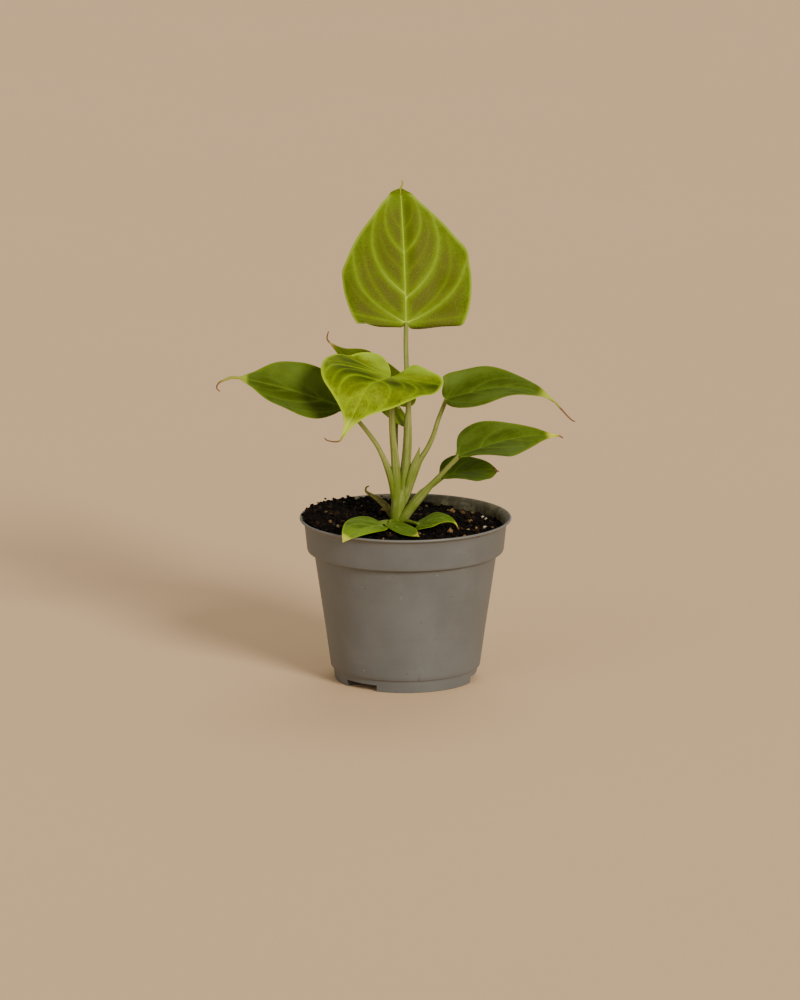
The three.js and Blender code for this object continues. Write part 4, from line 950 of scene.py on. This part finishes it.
def pot_grids():
    """The wall is a profile turned about the axis, from the foot over the lip and down inside.
    The lowest rows rise to the channel's height where a channel meets the foot. The underside is
    a disc of spokes and rings that is raised by that height within the channels."""
    profile = np.array(POT_PROFILE)
    lengths = np.linalg.norm(np.diff(profile, axis=0), axis=1)
    steps = np.maximum(np.round(lengths / WALL_STEP), 1).astype(int)
    pieces = [np.linspace(a, b, n, endpoint=False) for a, b, n in zip(profile, profile[1:], steps)]
    profile = np.concatenate(pieces + [profile[-1:]])
    foot = np.array(FOOT_PROFILE)
    rows = np.concatenate([foot, profile])
    turn, share = spoke_angles(np.full(len(rows), FOOT_RADIUS))
    radius, z = rows[:, :1], np.broadcast_to(rows[:, 1:], turn.shape)
    radius = np.broadcast_to(radius, turn.shape)
    cut = (share > 0) & (z < CHANNEL_HEIGHT)
    roof = np.interp(CHANNEL_HEIGHT, foot[:, 1], foot[:, 0])
    radius = np.where(cut & (np.arange(len(rows))[:, None] > 0), roof, radius)
    z = np.where(cut, CHANNEL_HEIGHT, z)
    inner = (np.arange(len(rows)) > len(foot) + steps[:INSIDE_FROM].sum())[:, None]
    skin = stack(inner * 1.0, 0 * z, 0 * z)
    wall = stack(radius * np.sin(turn), -radius * np.cos(turn), z)
    ring = np.concatenate([INNER_RINGS, np.linspace(CHANNEL_FROM, foot[0, 0], OUTER_RINGS)])
    turn, share = spoke_angles(ring)
    raised = (share > 0) & (np.arange(len(ring))[:, None] >= len(INNER_RINGS))
    z = np.where(raised, CHANNEL_HEIGHT, 0.0)
    x, y = ring[:, None] * np.sin(turn), -ring[:, None] * np.cos(turn)
    # Painted shade: the channel roofs are darkened by this share, and a disc in each is near black for
    # its outlet.
    channel_shade = UNDERSIDE_SHADE * raised
    for angle in CHANNEL_ANGLES:
        at_x, at_y = DRAIN_AT * np.sin(np.radians(angle)), -DRAIN_AT * np.cos(np.radians(angle))
        channel_shade = np.maximum(channel_shade, smooth_step(np.hypot(x - at_x, y - at_y), *DRAIN_EDGE) * raised)
    under = stack(x, y, z)
    marks = stack(0 * x, channel_shade, 0 * x)
    return [grid(wall, wrap=True, skin=skin), grid(under, wrap=True, flip=True, skin=marks)]


# Soil: its level, the heap and the dip with their angles, and the crumbs, in millimetres

SOIL_LEVEL = 87.6
SOIL_REACH = 51.7
HEAP, HEAP_ANGLE = 4.9, 158
DIP, DIP_ANGLE = 2.4, 40
SWELL = 0.6
MOUND, MOUND_SPREAD = 1.2, 180
STEM_PLACE = -4.5, -2
CRUMB_LAYERS = ((4.6, 3, 0.5), (2.3, 5, 0.65), (1.1, 9, 0.7))
TOP_POINTS = 260
TOP_REACH, LIP_REACH, LIP_ANGLE = 55.6, 2.2, 165
SOIL_SIDE = ((53.6, 76.5), (49.9, 74.2), (40.6, 9.6), (38.0, 8.0), (37.6, 5.4), (0.0, 5.4))
CRUMBS, CRUMB_REACH = 1100, 54.2
LIGHT_CRUMBS = 0.05
RIM_CRUMBS, RIM_ANGLE, RIM_SPREAD = 150, 160, 34
RIM_REACH = 55, 58.4
FIBRES, FIBRE_SPREAD, FIBRE_REACH = 46, 52, 53.5


def hashed(i, j, seed):
    """A repeatable number from 0 to 1 for each cell of a plane: the broken part of a large sine."""
    value = np.sin(i * 127.1 + j * 311.7 + seed * 74.7) * 43758.5453
    return value - np.floor(value)


def crumble(x, y, cell, seed):
    """Round crumbs packed side by side: one crumb sits at a hashed place in each cell, and the
    height is the tallest half sphere over the point among the nine nearest cells."""
    column, row = np.floor(x / cell), np.floor(y / cell)
    height = np.zeros_like(x)
    for di in (-1, 0, 1):
        for dj in (-1, 0, 1):
            i, j = column + di, row + dj
            at_x, at_y = (i + hashed(i, j, seed)) * cell, (j + hashed(i, j, seed + 1)) * cell
            radius = cell * (0.35 + 0.4 * hashed(i, j, seed + 2))
            gap = (x - at_x) ** 2 + (y - at_y) ** 2
            height = np.maximum(height, np.sqrt(np.maximum(radius**2 - gap, 0)))
    return height


def towards(x, y, angle):
    """The cosine of a place's direction from that angle in degrees, and 0 on the far side."""
    return np.clip(np.cos(np.arctan2(y, x) - np.radians(angle)), 0, 1)


def soil_level(x, y):
    """The soil's lie before its crumbs: level, heaped at the left and the back left up to the
    pot's rim, lower at the right, with low swells."""
    share = np.hypot(x, y) / SOIL_REACH
    heap = towards(x, y, HEAP_ANGLE) ** 0.8
    swells = np.sin(x * 0.31 + 1.3) * np.cos(y * 0.27 + 0.4) + 0.6 * np.sin(x * 0.17 - y * 0.23 + 2)
    stem_x, stem_y = STEM_PLACE
    mound = MOUND * np.exp(-(((x - stem_x) ** 2 + (y - stem_y) ** 2) / MOUND_SPREAD))
    rise = HEAP * heap * np.clip(share, 0, 1) ** 2.2 - DIP * towards(x, y, DIP_ANGLE) * share**2
    return SOIL_LEVEL + rise + SWELL * swells * np.clip(1.15 - share, 0.3, 1) + mound


def soil_top(x, y):
    """The soil's lie with crumbs of three sizes on it."""
    crumbs = sum(crumble(x, y, cell, seed) * share for cell, seed, share in CRUMB_LAYERS)
    return soil_level(x, y) + crumbs


def soil_grids():
    """The top is a square grid drawn out to a disc by x = u sqrt(1 - v^2/2), y = v sqrt(1 - u^2/2).
    Its rim goes down beside the pot's wall and closes at the bottom."""
    across = np.linspace(-1, 1, TOP_POINTS)
    u, v = np.meshgrid(across, across, indexing="xy")
    x, y = u * np.sqrt(1 - v * v / 2), v * np.sqrt(1 - u * u / 2)
    reach = TOP_REACH + LIP_REACH * towards(x, y, LIP_ANGLE) ** 1.6
    x, y = reach * x, reach * y
    top = stack(x, y, soil_top(x, y))
    rim = np.concatenate([top[0, :-1], top[:-1, -1], top[-1, :0:-1], top[:0:-1, 0]])
    outward = unit(rim[:, :2])
    rows = [rim]
    for radius, z in SOIL_SIDE:
        rows.append(np.concatenate([outward * radius, np.full((len(rim), 1), z)], 1))
    return [grid(top), grid(np.stack(rows), wrap=True)]


def lumps(x, y, size, turn, flat, tone, seed, rings=5, sides=8):
    """Angular crumbs: each is a ball of rings and sides whose radius varies by hashed numbers,
    flattened, turned about two axes and set in the soil. The arrays hold one value for each."""
    count = len(x)
    rise = np.linspace(-np.pi / 2, np.pi / 2, rings)
    around = np.linspace(0, 2 * np.pi, sides, endpoint=False)
    number = np.arange(count)[:, None, None]
    i, j = np.arange(rings)[None, :, None], np.arange(sides)[None, None, :]
    pole = (i == 0) | (i == rings - 1)
    radius = 0.72 + 0.5 * hashed(number * 7.3 + i * 1.7, np.where(pole, 0, j) * 2.9, seed)
    ball = stack(
        radius * np.cos(rise)[None, :, None] * np.cos(around),
        radius * np.cos(rise)[None, :, None] * np.sin(around) * 0.8,
        radius * np.sin(rise)[None, :, None] * flat[:, None, None],
    )
    ball = ball * size[:, None, None, None]
    a, b = turn[:, 0, None, None], turn[:, 1, None, None]
    bx, by, bz = ball[..., 0], ball[..., 1], ball[..., 2]
    by, bz = by * np.cos(a) - bz * np.sin(a), by * np.sin(a) + bz * np.cos(a)
    bx, by = bx * np.cos(b) - by * np.sin(b), bx * np.sin(b) + by * np.cos(b)
    place = stack(bx + x[:, None, None], by + y[:, None, None], bz + 0 * x[:, None, None])
    level = (soil_top(x, y) + size * flat * 0.35)[:, None, None]
    place[..., 2] += level
    shade = hashed(number * 3.1, number * 1.3, seed + 4)
    marks = stack(tone[:, None, None], shade, 0)
    return grid(place, wrap=True, tone=np.broadcast_to(marks, place.shape))


# Grains that show in the soil: (x, y, size, tone), where tone 1 is palest
GRAINS = (
    (-27.5, 41.5, 1.5, 0.92), (-24.8, 32.0, 1.1, 0.8), (-12.6, 26.5, 2.1, 0.68),
    (-17.6, 8.0, 0.9, 0.95), (-42.5, -12.5, 1.3, 0.8), (26.4, 37.0, 2.3, 0.66),
    (25.2, -22.0, 1.9, 0.72), (17.8, 32.0, 1.0, 0.66), (7.7, -30.0, 1.3, 0.7),
    (35.4, -17.5, 1.2, 0.85), (44.0, 22.0, 1.4, 0.97), (45.8, 18.0, 0.9, 0.93),
    (44.6, -4.0, 1.5, 0.98), (49.0, -9.0, 1.1, 0.75), (38.6, -34.0, 1.2, 0.85),
    (33.0, -36.0, 1.3, 0.72), (36.8, 9.0, 1.7, 0.66), (38.0, 33.0, 1.0, 0.7),
    (-35.0, 34.0, 1.0, 0.62), (-33.0, -24.0, 1.2, 0.66), (12.0, 44.0, 1.2, 0.64),
    (-6.0, 38.0, 1.4, 0.6), (-45.0, 12.0, 1.3, 0.6), (20.0, 12.0, 1.2, 0.62),
)


def crumb_grids():
    """Loose crumbs of peat and bark over the soil, and the pale grains among them."""
    random = np.random.default_rng(17)
    count = CRUMBS
    angle, share = random.uniform(0, 2 * np.pi, count), np.sqrt(random.uniform(0, 1, count))
    x, y = CRUMB_REACH * share * np.cos(angle), CRUMB_REACH * share * np.sin(angle)
    size = 0.4 + 1.5 * random.uniform(0, 1, count) ** 2.4
    tone = 0.5 * random.uniform(0, 1, count) ** 1.6
    tone = np.where(random.uniform(0, 1, count) < LIGHT_CRUMBS, random.uniform(0.55, 0.9, count), tone)
    turn = random.uniform(0, 3.1, (count, 2))
    flat = random.uniform(0.4, 0.95, count)
    loose = lumps(x, y, size, turn, flat, tone, 21)
    count = RIM_CRUMBS
    angle = np.radians(random.normal(RIM_ANGLE, RIM_SPREAD, count))
    reach = random.uniform(*RIM_REACH, count)
    size, turn = random.uniform(0.3, 1.0, count), random.uniform(0, 3.1, (count, 2))
    tone = 0.45 * random.uniform(0, 1, count)
    rim = lumps(reach * np.cos(angle), reach * np.sin(angle), size, turn, 0 * size + 0.7, tone, 27)
    picked = np.array(GRAINS)
    turn, flat = random.uniform(0, 3.1, (len(picked), 2)), random.uniform(0.6, 0.9, len(picked))
    pale = lumps(picked[:, 0], picked[:, 1], picked[:, 2], turn, flat, picked[:, 3], 33, 7, 10)
    return [loose, rim, pale]


def fibre_grids():
    """Thin root fibres that lie in shallow arcs over the crumbs."""
    random = np.random.default_rng(29)
    fibres = []
    for _ in range(FIBRES):
        angle, share = random.uniform(0, 2 * np.pi), np.sqrt(random.uniform(0.05, 0.92))
        x, y = FIBRE_SPREAD * share * np.cos(angle), FIBRE_SPREAD * share * np.sin(angle)
        heading, bend = random.uniform(0, 2 * np.pi), random.uniform(-1.2, 1.2)
        step = np.linspace(-0.5, 0.5, 5)
        length = random.uniform(2.5, 8)
        course = heading + bend * step
        px, py = x + length * step * np.cos(course), y + length * step * np.sin(course)
        shrink = np.minimum(1, FIBRE_REACH / np.hypot(px, py))
        px, py = px * shrink, py * shrink
        pz = soil_top(px, py) + 0.25 + 0.5 * (0.25 - step**2)
        radius = np.array([0.06, 0.1, 0.11, 0.1, 0.05]) * random.uniform(0.8, 1.4)
        fibres.append(tube(np.stack([px, py, pz, radius], 1), 14, 5, (0.1, 0.2, 1)))
    return fibres


# Pieces

LARGE_GRID, SMALL_GRID = (150, 36), (90, 22)
UNDER_TIP = colour(146, 162, 76)
THREAD = thread_finish("drip thread", colour(160, 162, 62), colour(152, 112, 72), colour(88, 60, 36))
UNDER = under_finish("leaf underside", colour(94, 120, 54), colour(122, 148, 78), UNDER_TIP)
YOUNG_UNDER = under_finish("young leaf underside", colour(110, 138, 54), colour(136, 162, 78), UNDER_TIP)


def green_finish(name, tip, tip_from=0.9):
    """The grown leaves' green, each with the tip that it has."""
    return leaf_finish(
        name, between=colour(86, 108, 32), dark=colour(54, 66, 2), pale=colour(107, 129, 48),
        vein=colour(94, 114, 30), rib=colour(110, 130, 40), margin=colour(110, 132, 28), tip=tip,
        bronze=colour(76, 90, 14), vein_share=0.7, tip_from=tip_from,
    )


GREEN = green_finish("velvet green leaf", colour(152, 170, 54))
BLADES = {
    "leaf_top": (
        leaf_finish(
            "bronze green leaf", between=colour(102, 125, 32), dark=colour(80, 96, 2),
            pale=colour(114, 144, 40), vein=colour(134, 158, 42), rib=colour(186, 210, 56),
            margin=colour(156, 180, 60), tip=colour(98, 114, 14), bronze=colour(98, 98, 44),
            inner_share=1.0, vein_share=0.95, tip_from=0.94,
        ),
        YOUNG_UNDER, "leaf_bronze_green",
    ),
    "leaf_front": (
        leaf_finish(
            "young lime leaf", between=colour(152, 174, 34), dark=colour(68, 84, 0),
            pale=colour(158, 188, 50), vein=colour(148, 174, 18), rib=colour(158, 182, 30),
            margin=colour(180, 206, 34), tip=colour(196, 212, 66), bronze=colour(138, 146, 40),
            inner_share=0.5, vein_share=0.85, tip_from=0.76,
        ),
        YOUNG_UNDER, "leaf_lime",
    ),
    "leaf_left": (GREEN, UNDER, "leaf_green"),
    "leaf_back": (
        leaf_finish(
            "olive leaf", between=colour(80, 92, 4), dark=colour(60, 68, 1),
            pale=colour(108, 128, 28), vein=colour(92, 106, 10), rib=colour(104, 118, 18),
            margin=colour(104, 120, 16), tip=colour(112, 104, 34), bronze=colour(72, 80, 3),
        ),
        UNDER, "leaf_olive",
    ),
    "leaf_right_upper": (
        green_finish("green leaf with a pale tip", colour(176, 190, 58), 0.8), UNDER, "leaf_green",
    ),
    "leaf_right_middle": (
        green_finish("green leaf with a yellow tip", colour(206, 210, 58), 0.84), UNDER, "leaf_green",
    ),
    # A leaf that lies in the shadow of the one above it: its colours are darker than the other green
    # leaves', as painted shade.
    "leaf_right_lower": (
        leaf_finish(
            "shaded green leaf", between=colour(76, 99, 3), dark=colour(58, 76, 0),
            pale=colour(86, 110, 8), vein=colour(92, 116, 8), rib=colour(106, 130, 12),
            margin=colour(90, 112, 8), tip=colour(80, 72, 26), bronze=colour(68, 84, 2),
        ),
        UNDER, "leaf_shade",
    ),
}
SMALL = leaf_finish(
    "small bright leaf", between=colour(90, 118, 26), dark=colour(58, 78, 3), pale=colour(130, 164, 14),
    vein=colour(116, 142, 48), rib=colour(132, 156, 54), margin=colour(148, 174, 34),
    tip=colour(206, 210, 64), bronze=colour(78, 102, 16), tip_from=0.82,
)
for name in ("small_leaf_left", "small_leaf_front", "small_leaf_right"):
    BLADES[name] = (SMALL, YOUNG_UNDER, "leaf_small")
for name, (upper, lower, slot) in BLADES.items():
    rows, columns = SMALL_GRID if name.startswith("small") else LARGE_GRID
    grids = blade_grids(LEAVES[name], rows, columns)
    make_piece(name + "_blade", grids, [upper, lower, THREAD], slot, [name], 60)

stalks = [tube(STEM, 60, 36, ribs=0.02)]
for points in STALKS.values():
    stalks.append(tube(points, 90, 24, groove=0.1, ribs=0.012))
for points in LOW_STALKS.values():
    stalks.append(tube(points, 40, 16, facing=(0.1, 0.1, 1), groove=0.12))
for points in SHEATHS:
    stalks.append(tube(points, 30, 16, flat=0.62, groove=0.15))
stalks.append(tube(SPROUT, 30, 14, facing=(0.1, 0.1, 1)))
STALK = stalk_finish(
    "stalk skin", colour(154, 158, 88), colour(116, 130, 54), colour(94, 106, 38), colour(98, 120, 12)
)
make_piece("stem_and_stalks", stalks, [STALK], "stalk", ["stem_and_petioles"], 60)

OLD = dried_finish("dried sheath skin", colour(124, 118, 46), colour(66, 58, 20))
sheath = tube(DRIED, 70, 20, flat=0.45, groove=0.35, ribs=0.06)
make_piece("dried_sheath", [sheath], [OLD], "dried", ["dried_leaf"])

make_piece("nursery_pot", pot_grids(), [pot_finish()], "pot_plastic", ["pot"], 35)
make_piece("soil_bed", soil_grids(), [soil_finish("damp peat")], "potting_mix", ["soil"], 80)
make_piece("soil_crumbs", crumb_grids(), [crumb_finish("peat and bark crumbs")], "potting_mix", sharp=40)
FIBRE = dried_finish("root fibre", colour(120, 92, 60), colour(70, 50, 32))
make_piece("soil_fibres", fibre_grids(), [FIBRE], "potting_mix")


# Stage

LOOK_DOWN = 12.85


def floor_finish():
    """A plain pale floor with a very faint, wide unevenness."""
    f = Finish("pale floor", {"Specular IOR Level": 0.2})
    f.paint = f.mix(f.noise(2.0, 3.0), colour(228, 193, 150), colour(232, 197, 154))
    return f.done(f.ramp(f.noise(6.0), 0.2, 0.8, 0.9, 0.98), f.noise(90.0), 0.1, 0.1)


def make_floor(reach=30.0):
    """A flat square under the pot."""
    mesh = bpy.data.meshes.new("floor")
    corners = np.array([(-1, -1, 0), (1, -1, 0), (1, 1, 0), (-1, 1, 0)]) * reach
    mesh.from_pydata(corners, [], [(0, 1, 2, 3)])
    mesh.materials.append(floor_finish())
    floor = add_object("floor", mesh)


def soft_light(name, right, up, spread, power, tint):
    """A wide distant light: its place in degrees to the right of the front and up, and its width."""
    light = bpy.data.lights.new(name, "SUN")
    light.energy = power
    light.angle = np.radians(spread)
    light.color = tint
    add_object(name, light).rotation_euler = (np.radians(90 - up), 0, np.radians(right))


def make_camera():
    """A long lens four metres off, looking down by a little under thirteen degrees."""
    camera = bpy.data.cameras.new("camera")
    camera.lens = 254.4
    camera.sensor_width = 36
    camera.clip_end = 100
    eye = add_object("camera", camera)
    eye.location = (-0.00311, -3.8978, 0.9917)
    eye.rotation_euler = (np.radians(90 - LOOK_DOWN), 0, 0)
    bpy.context.scene.camera = eye


make_floor()
soft_light("key light", 35, 27, 18, 2.82, (1.0, 0.95, 0.88))
soft_light("fill light", -40, 15, 60, 0.64, (1.0, 0.96, 0.9))
soft_light("back light", 165, 50, 40, 0.62, (1.0, 0.96, 0.9))
world = bpy.data.worlds.new("room")
bpy.context.scene.world = world
world.use_nodes = True
room = world.node_tree.nodes["Background"].inputs
room["Color"].default_value = (1.0, 0.94, 0.86, 1)
room["Strength"].default_value = 0.35
make_camera()
